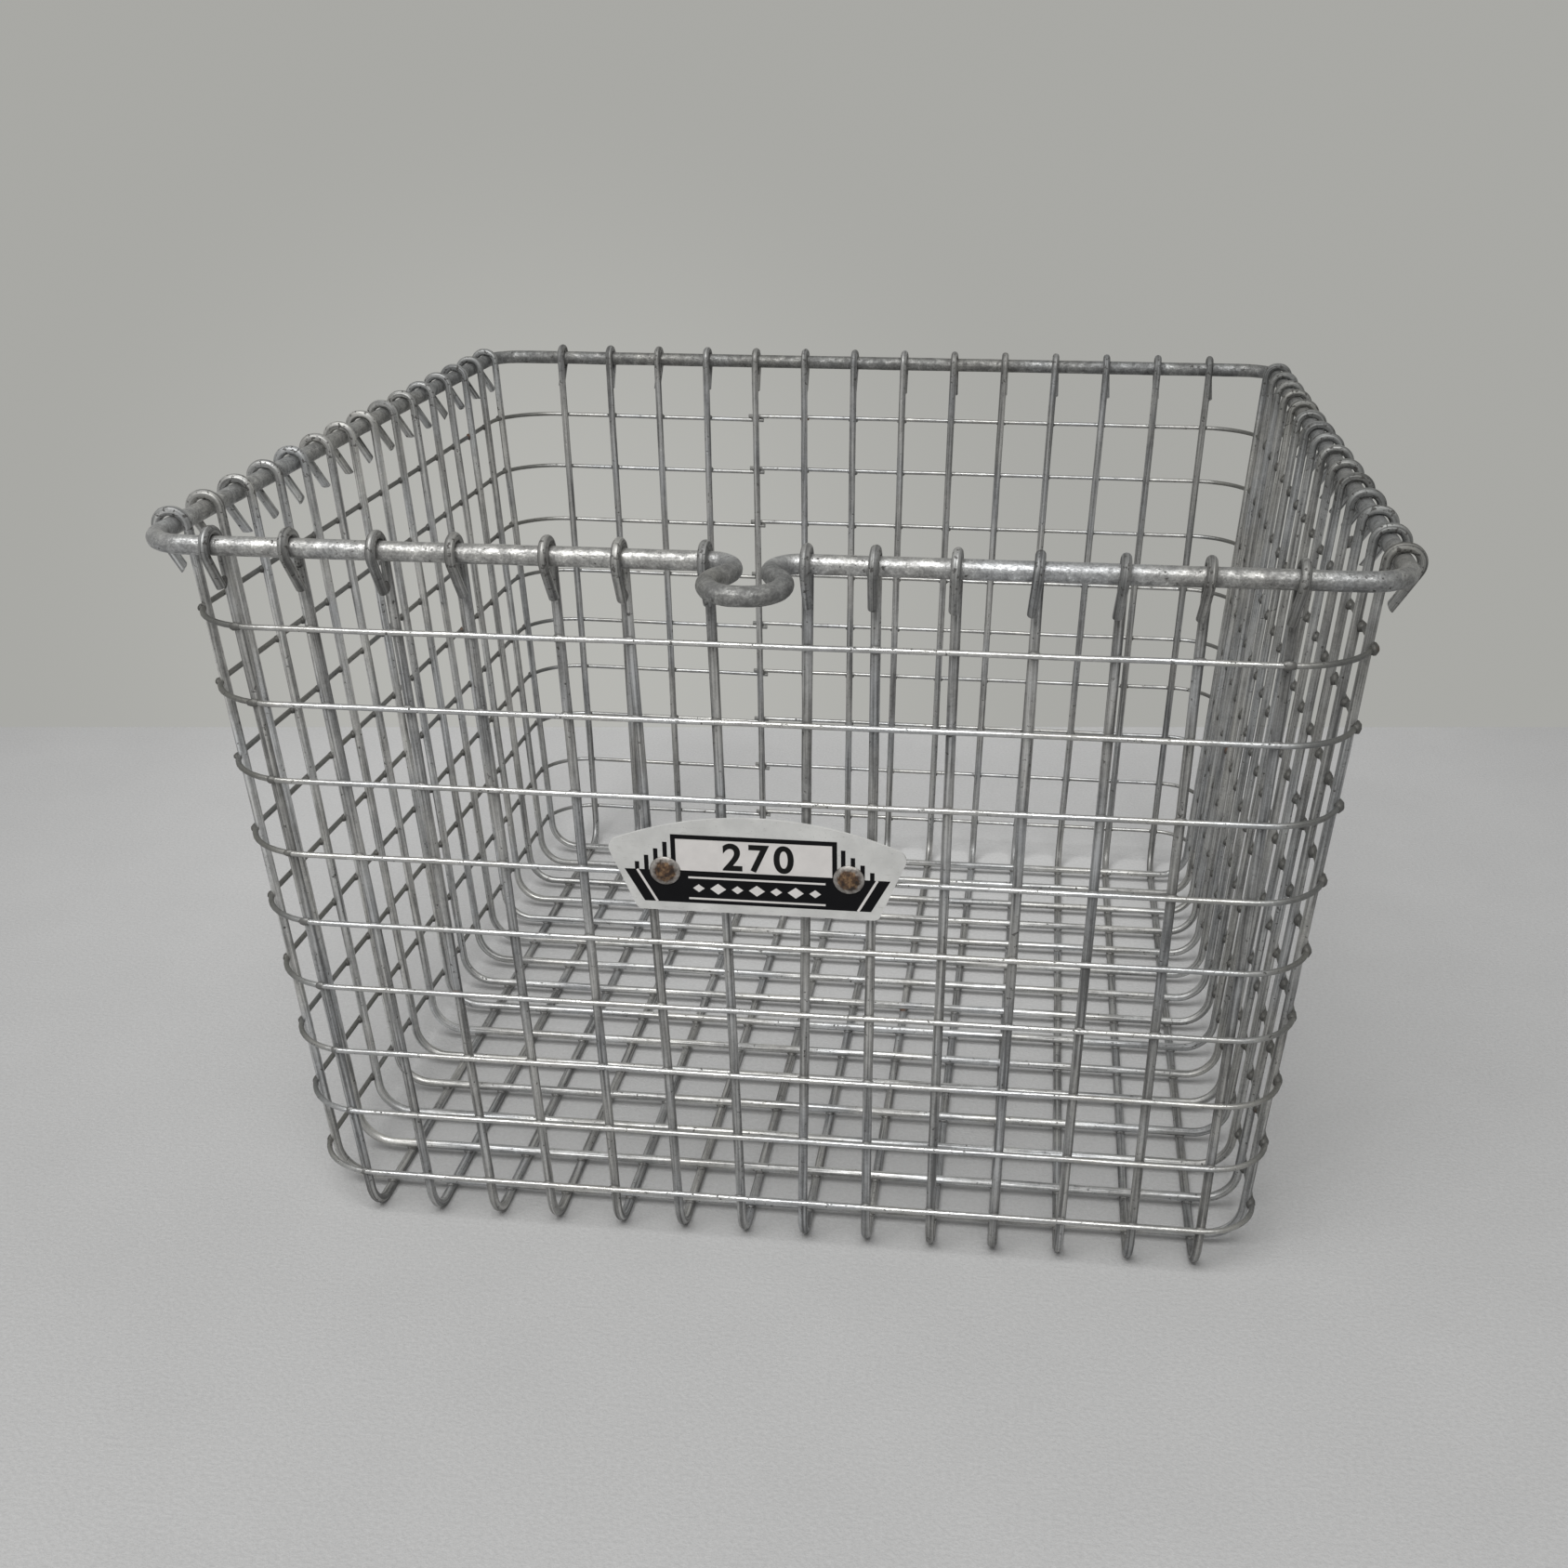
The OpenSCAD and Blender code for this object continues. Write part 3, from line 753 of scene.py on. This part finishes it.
def make_crosswise_wire(j):
    """A wire that runs from the left rod, down and across the floor, to the right rod."""
    ahead = Vector((0, 1, 0))
    left_drift, right_drift = random.uniform(*SIDE_TAIL_STRAY), random.uniform(*SIDE_TAIL_STRAY)
    left_start = Vector((-RIM_HALF_X, side_y(j), RIM_HEIGHT))
    right_start = Vector((RIM_HALF_X, side_y(j), RIM_HEIGHT))
    left = hook(Vector((-1, 0, 0)), ahead, left_start, SIDE_LEAN, left_drift)
    right = hook(Vector((1, 0, 0)), ahead, right_start, SIDE_LEAN, right_drift)
    floor_near = Vector((-FLOOR_HALF_X, floor_y(j), CROSSWISE_Z))
    floor_far = Vector((FLOOR_HALF_X, floor_y(j), CROSSWISE_Z))
    seed = j + LENGTHWISE_COUNT
    work = Metalwork()
    points = hooked_wire(left, right, floor_near, floor_far, CROSSWISE_BEND_R, seed)
    work.bar(points, WIRE_R, WIRE_SIDES, seed, slant=CROSSWISE_SLANT)
    tail_web(work, points, CROSSWISE_WEBS, seed)
    for i in range(1, LENGTHWISE_COUNT + 1):
        seat = Vector((floor_x(i), floor_y(j), (LENGTHWISE_Z + CROSSWISE_Z) / 2))
        work.blob(seat, Vector((1, 0, 0)), Vector((0, 0, 1)), SEAT_WELD, i + j)
    node = f"crosswise_wire_{j:02d}"
    # The crosswise wires take the lit copy of the wire's zinc: painted light
    work.finish(f"{node}_look", ZINC_WIRE_LIT, "zinc_wire", node)


def wall_crossings(z):
    """Where the hoop at height z meets the wall wires: points between them, and the way out of the wall."""
    spots = []
    y = hoop_half_y(z) - HOOP_R
    for i in range(1, LENGTHWISE_COUNT + 1):
        spots.append((Vector((on_wall(front_x(i), floor_x(i), z), -y, z)), Vector((0, -1, 0))))
        spots.append((Vector((on_wall(back_x(i), floor_x(i), z), y, z)), Vector((0, 1, 0))))
    x = hoop_half_x(z) - HOOP_R
    for j in range(1, CROSSWISE_COUNT + 1):
        place = on_wall(side_y(j), floor_y(j), z)
        spots.append((Vector((-x, place, z)), Vector((-1, 0, 0))))
        spots.append((Vector((x, place, z)), Vector((1, 0, 0))))
    return spots


def make_hoop(k):
    """A hoop round the walls, its ends lapped at the back, with its welds."""
    z = hoop_z(k)
    x = hoop_half_x(z) - WELD_SINK
    y = hoop_half_y(z) - WELD_SINK
    lap_x = on_wall(back_x(LAP_WIRE), floor_x(LAP_WIRE), z)
    lap_z = HOOP_R + SEAT_GAP
    corners = [
        (lap_x + LAP_OVER, y, z - lap_z),
        (-x, y, z),
        (-x, -y, z),
        (x, -y, z),
        (x, y, z),
        (lap_x - LAP_OVER, y, z + lap_z),
    ]
    left = even(HOOP_BEND_TOP, HOOP_BEND_LEFT, HOOP_COUNT, k)
    right = even(HOOP_BEND_TOP, HOOP_BEND_RIGHT, HOOP_COUNT, k)
    radii = [0, left, left, right, right, 0]
    work = Metalwork()
    points = sway(bent_path(corners, radii), HOOP_SWAY, k + 40, reach=0.03)
    work.bar(points, HOOP_R, HOOP_SIDES, k + 40)
    for count, (spot, outward) in enumerate(wall_crossings(z)):
        along = outward.cross(Vector((0, 0, 1)))
        size = (random.uniform(*WELD_LENGTH), random.uniform(*WELD_WIDTH), WELD_HEIGHT)
        # Bigger welds on the left and right walls: partly weld beads, partly painted shade on the hoops
        # between the wires
        if outward.x > 0:
            size = (RIGHT_WELD_LENGTH, random.uniform(*RIGHT_WELD_WIDTH), RIGHT_WELD_HEIGHT)
        elif outward.x < 0:
            size = (LEFT_WELD_LENGTH, random.uniform(*LEFT_WELD_WIDTH), LEFT_WELD_HEIGHT)
        work.blob(spot, along, outward, size, count + k)
    if k == 1:
        # The big lump of weld at the right end of the top hoop's front
        spot = Vector((on_wall(front_x(LENGTHWISE_COUNT), floor_x(LENGTHWISE_COUNT), z), -y, z))
        work.blob(spot, Vector((1, 0, 0)), Vector((0, -1, 0)), BIG_WELD, k)
    node = f"hoop_{k:02d}"
    work.finish(f"{node}_look", ZINC_HOOP, "zinc_hoop", node)


# The number plate and its rivets

PLATE_Z = hoop_z(PLATE_HOOP)
LEFT_WIRE_X = on_wall(front_x(WIRES_PER_SIDE - 1), floor_x(WIRES_PER_SIDE - 1), PLATE_Z)
RIGHT_WIRE_X = on_wall(front_x(WIRES_PER_SIDE + 2), floor_x(WIRES_PER_SIDE + 2), PLATE_Z)
LEFT_RIVET_X = LEFT_WIRE_X + WIRE_R + BURR_GAP_LEFT + BURR_R
RIGHT_RIVET_X = RIGHT_WIRE_X - WIRE_R - BURR_GAP_RIGHT - BURR_R
PLATE_X = (LEFT_RIVET_X + RIGHT_RIVET_X) / 2
RIVET_X = (RIGHT_RIVET_X - LEFT_RIVET_X) / 2
RIVET_Y = HOOP_R + SEAT_GAP + SHANK_R
PLATE_BACK = HOOP_R + SEAT_GAP
PLATE_FRONT = PLATE_BACK + PLATE_T
ON_PLATE_HOOP = Matrix.Translation((PLATE_X, -hoop_half_y(PLATE_Z), PLATE_Z)) @ Matrix.Rotation(
    math.radians(90) + FRONT_LEAN, 4, "X"
)


def arc(centre, radius, start, end, steps):
    """Points of an arc round a centre, angles in radians."""
    angles = [start + (end - start) * s / steps for s in range(steps + 1)]
    return [Vector((centre[0] + radius * math.cos(a), centre[1] + radius * math.sin(a))) for a in angles]


def plate_outline():
    """Outline of the plate, from its right foot over the domed top to its left foot."""
    half = PLATE_WIDTH / 2
    foot = PLATE_FOOT_WIDTH / 2
    rise = PLATE_HEIGHT - PLATE_TIP_HEIGHT
    dome_r = (half**2 + rise**2) / (2 * rise)
    dome_centre = Vector((0, PLATE_HEIGHT - dome_r))
    side_angle = math.atan2(PLATE_TIP_HEIGHT, half - foot)
    side_normal = side_angle - math.pi / 2
    side_out = Vector((math.cos(side_normal), math.sin(side_normal)))
    side_dir = Vector((math.cos(side_angle), math.sin(side_angle)))
    inside = dome_r - PLATE_TIP_R
    side_base = Vector((foot, 0)) - PLATE_TIP_R * side_out - dome_centre
    half_b = side_base.dot(side_dir)
    reach = -half_b + math.sqrt(half_b**2 - side_base.length_squared + inside**2)
    tip = dome_centre + side_base + reach * side_dir
    tip_angle = math.atan2(tip.y - dome_centre.y, tip.x)
    foot_centre = (foot + PLATE_FOOT_R * (math.cos(side_angle) - 1) / math.sin(side_angle), PLATE_FOOT_R)
    right = arc(foot_centre, PLATE_FOOT_R, -math.pi / 2, side_normal, 6)
    right += arc(tip, PLATE_TIP_R, side_normal, tip_angle, 8)
    right += arc(dome_centre, dome_r, tip_angle, math.pi / 2, 16)
    points = right + [Vector((-p.x, p.y)) for p in reversed(right[:-1])]
    return [Vector((p.x, p.y - PLATE_DROP)) for p in points]


def plate_object(name, bm, material):
    """Puts a mesh that was made flat on the plate in its place, and lets it ride."""
    bmesh.ops.recalc_face_normals(bm, faces=bm.faces)
    mesh = bpy.data.meshes.new(name)
    bm.to_mesh(mesh)
    bm.free()
    mesh.transform(ON_PLATE_HOOP)
    mesh.materials.append(material)
    piece = bpy.data.objects.new(name, mesh)
    bpy.context.scene.collection.objects.link(piece)
    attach(piece, "root")
    return piece


def slab(bm, outline, low, high):
    """A flat slab between the heights low and high, with the given outline."""
    floor = [bm.verts.new((p[0], p[1], low)) for p in outline]
    roof = [bm.verts.new((p[0], p[1], high)) for p in outline]
    count = len(outline)
    for a in range(count):
        b = (a + 1) % count
        bm.faces.new((floor[a], floor[b], roof[b], roof[a]))
    bm.faces.new(roof)
    bm.faces.new(floor[::-1])


def band(bm, outline, width, height, closed=True):
    """A printed line of the given width, centred on an outline."""
    count = len(outline)
    left, right = [], []
    for i, p in enumerate(outline):
        before = outline[i - 1] if i or closed else outline[0]
        after = outline[(i + 1) % count] if i < count - 1 or closed else outline[-1]
        first = (p - before).normalized() if (p - before).length else (after - p).normalized()
        last = (after - p).normalized() if (after - p).length else first
        side = Vector((-first.y - last.y, first.x + last.x))
        side.normalize()
        stretch = 1 / max(0.4, side.dot(Vector((-first.y, first.x))))
        left.append(bm.verts.new((*(p + side * width / 2 * stretch), height)))
        right.append(bm.verts.new((*(p - side * width / 2 * stretch), height)))
    for a in range(count if closed else count - 1):
        b = (a + 1) % count
        bm.faces.new((left[a], right[a], right[b], left[b]))


def box_outline(x0, y0, x1, y1):
    """Corners of a rectangle."""
    return [Vector((x0, y0)), Vector((x1, y0)), Vector((x1, y1)), Vector((x0, y1))]


def make_plate():
    """The sheet and its softened edges."""
    bm = bmesh.new()
    slab(bm, plate_outline(), PLATE_BACK, PLATE_FRONT)
    rims = [e for e in bm.edges if e.calc_face_angle(0) > 1 and abs(e.verts[0].co.z - e.verts[1].co.z) < 1e-7]
    bmesh.ops.bevel(bm, geom=rims, offset=PLATE_SOFT, segments=2, profile=0.6, affect="EDGES")
    piece = plate_object("number_plate_look", bm, plate_metal())
    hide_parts("number_plate")


def lathe(bm, middle, profile, segments=40, lay=None):
    """Turns a profile of (radius, height) round an axis that stands on the plate at middle."""
    rings = []
    for radius, height in profile:
        ring = []
        for s in range(segments if radius > 0 else 1):
            a = math.tau * s / segments
            vert = bm.verts.new((middle[0] + radius * math.cos(a), middle[1] + radius * math.sin(a), height))
            if lay:
                vert[lay] = Vector((radius * math.cos(a), radius * math.sin(a), 0))
            ring.append(vert)
        rings.append(ring)
    for low, high in zip(rings, rings[1:]):
        for s in range(segments):
            t = (s + 1) % segments
            corners = [low[s % len(low)], low[t % len(low)], high[t % len(high)], high[s % len(high)]]
            face = bm.faces.new(list(dict.fromkeys(corners)))
            face.smooth = True


def make_rivets():
    """Rivets with a thin flange, a low dome and a dimple in the middle, clinched behind the plate."""
    bm = bmesh.new()
    lay = bm.verts.layers.float_vector.new("lay")
    base = PLATE_FRONT + SEAT_GAP
    tail = -HOOP_R - 2 * SEAT_GAP - BURR_T
    clinch = ((0, -1), (0.7, -1), (1, -0.6), (0.9, 0))
    dome = ((0.97, 0), (1, 0.1), (0.96, 0.24), (0.8, 0.44), (0.62, 0.68))
    dome += ((0.45, 0.9), (0.3, 1), (0.16, 0.97), (0, 0.93))
    profile = [(CLINCH_R * across, tail + CLINCH_H * up) for across, up in clinch]
    profile += [(SHANK_R, tail), (SHANK_R, base)]
    profile += [(RIVET_HEAD_R * across, base + RIVET_HEAD_H * up) for across, up in dome]
    for side in (-1, 1):
        lathe(bm, (side * RIVET_X, RIVET_Y), profile, lay=lay)
    piece = plate_object("plate_rivets_look", bm, rivet_metal())
    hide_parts("plate_rivets")


def make_burrs():
    """The small washers behind the plate, their edges softened."""
    bm = bmesh.new()
    front = -HOOP_R - SEAT_GAP
    back = front - BURR_T
    soft = 0.2 * BURR_T
    hole = SHANK_R + SHANK_GAP
    profile = [(hole, back), (BURR_R - soft, back), (BURR_R, back + soft)]
    profile += [(BURR_R, front - soft), (BURR_R - soft, front), (hole, front), (hole, back)]
    for side in (-1, 1):
        lathe(bm, (side * RIVET_X, RIVET_Y), profile, segments=32)
    bmesh.ops.remove_doubles(bm, verts=bm.verts, dist=0.000001)
    piece = plate_object("rivet_burrs_look", bm, ZINC_WIRE)
    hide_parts("rivet_burrs")


# What is printed on the plate. Heights are above the plate's lower edge, and places along it from its middle
PRINT_LIFT = 0.00003
LINE = 0.0013
WINDOW_X = -0.0007
WINDOW_HALF = 0.0219
WINDOW_LOW, WINDOW_HIGH = 0.0118, 0.0226
PANEL_LOW, PANEL_HIGH = 0.0026, 0.0122
PANEL_HALF_LOW, PANEL_HALF_HIGH = 0.0310, 0.0362
STRIPE_INSET, STRIPE_WIDTH = 0.0035, 0.0007
BAR_COUNT, BAR_HALF = 4, 0.0006
BAR_START, BAR_PITCH = 0.0023, 0.0026
BAR_TOP, BAR_FALL = WINDOW_HIGH - 0.0018, 0.0021
RULE_HEIGHTS, RULE_HALF, RULE_WIDTH = (0.0040, 0.0104), 0.0187, 0.0006
LOZENGE_HEIGHT, LOZENGE_PITCH = 0.0072, 0.0053
LOZENGE_SMALL, LOZENGE_BIG = 0.0016, 0.0022
NUMBER = "270"
NUMBER_X, NUMBER_HEIGHT, NUMBER_SPACING, NUMBER_WEIGHT = 0.0005, 0.0078, 1.25, 0.00028
# Share of a font's size that its figures are high
FIGURE_SHARE = 0.7
# Each colour of the print, and what shows through its pin holes
BLACK_PRINT, BLACK_WORN = (0.006, 0.006, 0.007), (0.08, 0.08, 0.08)
WHITE_PRINT, WHITE_WORN = (0.7, 0.675, 0.655), (0.28, 0.26, 0.24)
NUMBER_BLACK, NUMBER_WORN = (0.01, 0.01, 0.01), (0.1, 0.1, 0.1)


def on_plate(x, y):
    return Vector((x, y - PLATE_DROP))


def patch(bm, outline, level):
    """A flat printed patch."""
    bm.faces.new([bm.verts.new((p.x, p.y, level)) for p in outline])


def make_print():
    """A framed window, a dark panel with pale rules and lozenges, and bars beside the window."""
    black = bmesh.new()
    level = PLATE_FRONT + PRINT_LIFT
    low, high = WINDOW_LOW - PLATE_DROP, WINDOW_HIGH - PLATE_DROP
    window = box_outline(WINDOW_X - WINDOW_HALF, low, WINDOW_X + WINDOW_HALF, high)
    band(black, window, LINE, level + 2 * PRINT_LIFT)
    panel = [
        on_plate(-PANEL_HALF_LOW, PANEL_LOW),
        on_plate(PANEL_HALF_LOW, PANEL_LOW),
        on_plate(PANEL_HALF_HIGH, PANEL_HIGH),
        on_plate(-PANEL_HALF_HIGH, PANEL_HIGH),
    ]
    patch(black, panel, level)
    for side in (-1, 1):
        for step in range(BAR_COUNT):
            x = side * (WINDOW_HALF + BAR_START + BAR_PITCH * step) + WINDOW_X
            foot, top = PANEL_HIGH - PLATE_DROP, BAR_TOP - BAR_FALL * step - PLATE_DROP
            patch(black, box_outline(x - BAR_HALF, foot, x + BAR_HALF, top), level)
    plate_object("plate_print_black", black, paint("print_black", BLACK_PRINT, BLACK_WORN, 0.1))
    white = bmesh.new()
    level += PRINT_LIFT
    patch(white, window, level)
    for height in RULE_HEIGHTS:
        rule = [on_plate(-RULE_HALF, height), on_plate(RULE_HALF, height)]
        band(white, rule, RULE_WIDTH, level, closed=False)
    for step in range(-3, 4):
        middle = on_plate(LOZENGE_PITCH * step, LOZENGE_HEIGHT)
        reach = LOZENGE_SMALL if step % 2 else LOZENGE_BIG
        lozenge = [Vector(p) for p in ((reach, 0), (0, 0.75 * reach), (-reach, 0), (0, -0.75 * reach))]
        patch(white, [middle + p for p in lozenge], level)
    for side in (-1, 1):
        foot = on_plate(side * (PANEL_HALF_LOW - STRIPE_INSET), PANEL_LOW)
        top = on_plate(side * (PANEL_HALF_HIGH - STRIPE_INSET), PANEL_HIGH)
        band(white, [foot, top], STRIPE_WIDTH, level, closed=False)
    plate_object("plate_print_white", white, paint("print_white", WHITE_PRINT, WHITE_WORN, 0.3))


def make_number():
    """The basket's number, in plain figures."""
    data = bpy.data.curves.new("plate_number", "FONT")
    data.body = NUMBER
    data.align_x = "CENTER"
    data.size = NUMBER_HEIGHT / FIGURE_SHARE
    data.space_character = NUMBER_SPACING
    data.offset = NUMBER_WEIGHT
    figures = bpy.data.objects.new("plate_number", data)
    bpy.context.scene.collection.objects.link(figures)
    mesh = bpy.data.meshes.new_from_object(figures.evaluated_get(bpy.context.evaluated_depsgraph_get()))
    bpy.data.objects.remove(figures)
    bm = bmesh.new()
    bm.from_mesh(mesh)
    low = (WINDOW_LOW + WINDOW_HIGH - NUMBER_HEIGHT) / 2 - PLATE_DROP
    bmesh.ops.translate(bm, verts=bm.verts, vec=(NUMBER_X, low, PLATE_FRONT + 3 * PRINT_LIFT))
    plate_object("plate_number_look", bm, paint("number_black", NUMBER_BLACK, NUMBER_WORN, 0.1))


make_rim_rod()
for number in range(1, LENGTHWISE_COUNT + 1):
    make_lengthwise_wire(number)
for number in range(1, CROSSWISE_COUNT + 1):
    make_crosswise_wire(number)
for number in range(1, HOOP_COUNT + 1):
    make_hoop(number)
make_plate()
make_rivets()
make_burrs()
make_print()
make_number()


# The camera, at the photograph's place and angle

IMAGE_SIZE = 1687
FOCAL_PIXELS = 1974.2
MIDDLE_X, MIDDLE_Y = 882.7, 792.1
SENSOR = 36.0
CAMERA_PLACE = Vector((0.0708, -0.6005, 0.3316))
CAMERA_PITCH, CAMERA_YAW = 0.353, -0.122


def make_camera():
    data = bpy.data.cameras.new("camera")
    data.sensor_width = SENSOR
    data.sensor_fit = "HORIZONTAL"
    data.lens = SENSOR * FOCAL_PIXELS / IMAGE_SIZE
    data.shift_x = (IMAGE_SIZE / 2 - MIDDLE_X) / IMAGE_SIZE
    data.shift_y = (MIDDLE_Y - IMAGE_SIZE / 2) / IMAGE_SIZE
    data.clip_start = 0.01
    camera = bpy.data.objects.new("camera", data)
    camera.location = CAMERA_PLACE
    camera.rotation_euler = (math.pi / 2 - CAMERA_PITCH, 0, -CAMERA_YAW)
    bpy.context.scene.collection.objects.link(camera)
    bpy.context.scene.camera = camera


# The studio: a pale floor that ends behind the basket, a pale background, each with a painted pool of light,
# and soft light from above

# The floor's end, from the camera, and how far it reaches to each side and forwards
FLOOR_END = 0.914
FLOOR_REACH = 3.0
FLOOR_COLOUR = (0.49, 0.49, 0.486)
BACKGROUND_COLOUR = (0.395, 0.395, 0.374)
WORLD_GREY, WORLD_STRENGTH = 0.5, 0.66
# Painted light: the floor is painted paler round this place, and the background in this direction, by these
# factors
LIGHT_POOL_PLACE = (-0.04, 0.28, 0.0)
LIGHT_POOL_WAY = (-0.255, 0.921, -0.294)
FLOOR_LIGHT_GAIN = 1.42
BACKGROUND_LIGHT_GAIN = 1.19
LAMP_PLACE, LAMP_TARGET = (-0.25, -1.3, 2.0), (0, 0, 0.1)
LAMP_SIZE, LAMP_POWER = (1.7, 1.3), 49


def painted_light_pool(tree, vector, middle, low, high, colour, gain):
    """The colour, painted softly paler where the vector comes near the middle: a painted pool of light."""
    distance = tree.nodes.new("ShaderNodeVectorMath")
    distance.operation = "DISTANCE"
    tree.links.new(vector, distance.inputs[0])
    distance.inputs[1].default_value = middle
    soft = tree.nodes.new("ShaderNodeMapRange")
    soft.interpolation_type = "SMOOTHSTEP"
    for name, number in (("From Min", low), ("From Max", high), ("To Min", 1), ("To Max", 0)):
        soft.inputs[name].default_value = number
    tree.links.new(distance.outputs["Value"], soft.inputs["Value"])
    mixed = tree.nodes.new("ShaderNodeMix")
    mixed.data_type = "RGBA"
    tree.links.new(soft.outputs["Result"], mixed.inputs[0])
    mixed.inputs[6].default_value = (*colour, 1)
    mixed.inputs[7].default_value = (*(gain * c for c in colour), 1)
    return mixed.outputs[2]


def floor_cloth():
    """Pale cloth with a fine tooth, painted paler behind the basket as a pool of light."""
    s = Shader("floor_cloth")
    place = s.object_place()
    tooth = s.noise(place, 800, detail=3, roughness=0.7)
    clouds = s.ramp(s.noise(place, 20, detail=6), [(0.3, 0.98), (0.7, 1.02)])
    weave = s.ramp(tooth, [(0.3, 0.88), (0.7, 1.0)])
    # Painted pool of light on the floor behind the basket
    shade = painted_light_pool(s.tree, place, LIGHT_POOL_PLACE, 0.02, 0.5, FLOOR_COLOUR, FLOOR_LIGHT_GAIN)
    shade = s.mix(1.0, s.mix(1.0, shade, clouds, blend="MULTIPLY"), weave, blend="MULTIPLY")
    s.set(Base_Color=shade, Roughness=0.9, Specular_IOR_Level=0.15, Normal=s.bump(tooth, 0.25, 0.002))
    return s.material


def make_floor():
    ahead = Vector((math.sin(CAMERA_YAW), math.cos(CAMERA_YAW), 0))
    right = Vector((ahead.y, -ahead.x, 0))
    end = Vector((CAMERA_PLACE.x, CAMERA_PLACE.y, 0)) + FLOOR_END * ahead
    wide, near = FLOOR_REACH * right, FLOOR_REACH * ahead
    mesh = bpy.data.meshes.new("floor")
    mesh.from_pydata([end - wide - near, end + wide - near, end + wide, end - wide], [], [(0, 1, 2, 3)])
    mesh.materials.append(floor_cloth())
    floor = bpy.data.objects.new("floor", mesh)
    bpy.context.scene.collection.objects.link(floor)


def make_world():
    """Even grey light all round, and a pale background for what the camera and the metal see, painted
    brighter low behind the basket as a patch of light.
    """
    world = bpy.data.worlds.new("world")
    world.use_nodes = True
    tree = world.node_tree
    light = tree.nodes["Background"]
    light.inputs["Color"].default_value = (WORLD_GREY, WORLD_GREY, WORLD_GREY, 1)
    light.inputs["Strength"].default_value = WORLD_STRENGTH
    seen = tree.nodes.new("ShaderNodeBackground")
    way = tree.nodes.new("ShaderNodeTexCoord").outputs["Generated"]
    # Painted light: the background is brighter low behind the basket
    shade = painted_light_pool(tree, way, LIGHT_POOL_WAY, 0.03, 0.3, BACKGROUND_COLOUR, BACKGROUND_LIGHT_GAIN)
    tree.links.new(shade, seen.inputs["Color"])
    rays = tree.nodes.new("ShaderNodeLightPath")
    either = rays.outputs["Is Camera Ray"]
    for name in ("Is Glossy Ray", "Is Transmission Ray"):
        most = tree.nodes.new("ShaderNodeMath")
        most.operation = "MAXIMUM"
        tree.links.new(either, most.inputs[0])
        tree.links.new(rays.outputs[name], most.inputs[1])
        either = most.outputs["Value"]
    choice = tree.nodes.new("ShaderNodeMixShader")
    tree.links.new(either, choice.inputs[0])
    tree.links.new(light.outputs[0], choice.inputs[1])
    tree.links.new(seen.outputs[0], choice.inputs[2])
    tree.links.new(choice.outputs[0], tree.nodes["World Output"].inputs["Surface"])
    bpy.context.scene.world = world


def make_lamp(name, place, target, size, power):
    """A soft rectangular lamp that faces its target."""
    data = bpy.data.lights.new(name, "AREA")
    data.shape = "RECTANGLE"
    data.size, data.size_y = size
    data.energy = power
    lamp = bpy.data.objects.new(name, data)
    lamp.location = place
    lamp.rotation_euler = (Vector(target) - Vector(place)).to_track_quat("-Z", "Y").to_euler()
    bpy.context.scene.collection.objects.link(lamp)


make_camera()
make_floor()
make_world()
make_lamp("ceiling", LAMP_PLACE, LAMP_TARGET, LAMP_SIZE, LAMP_POWER)
bpy.context.scene.view_settings.view_transform = "Standard"
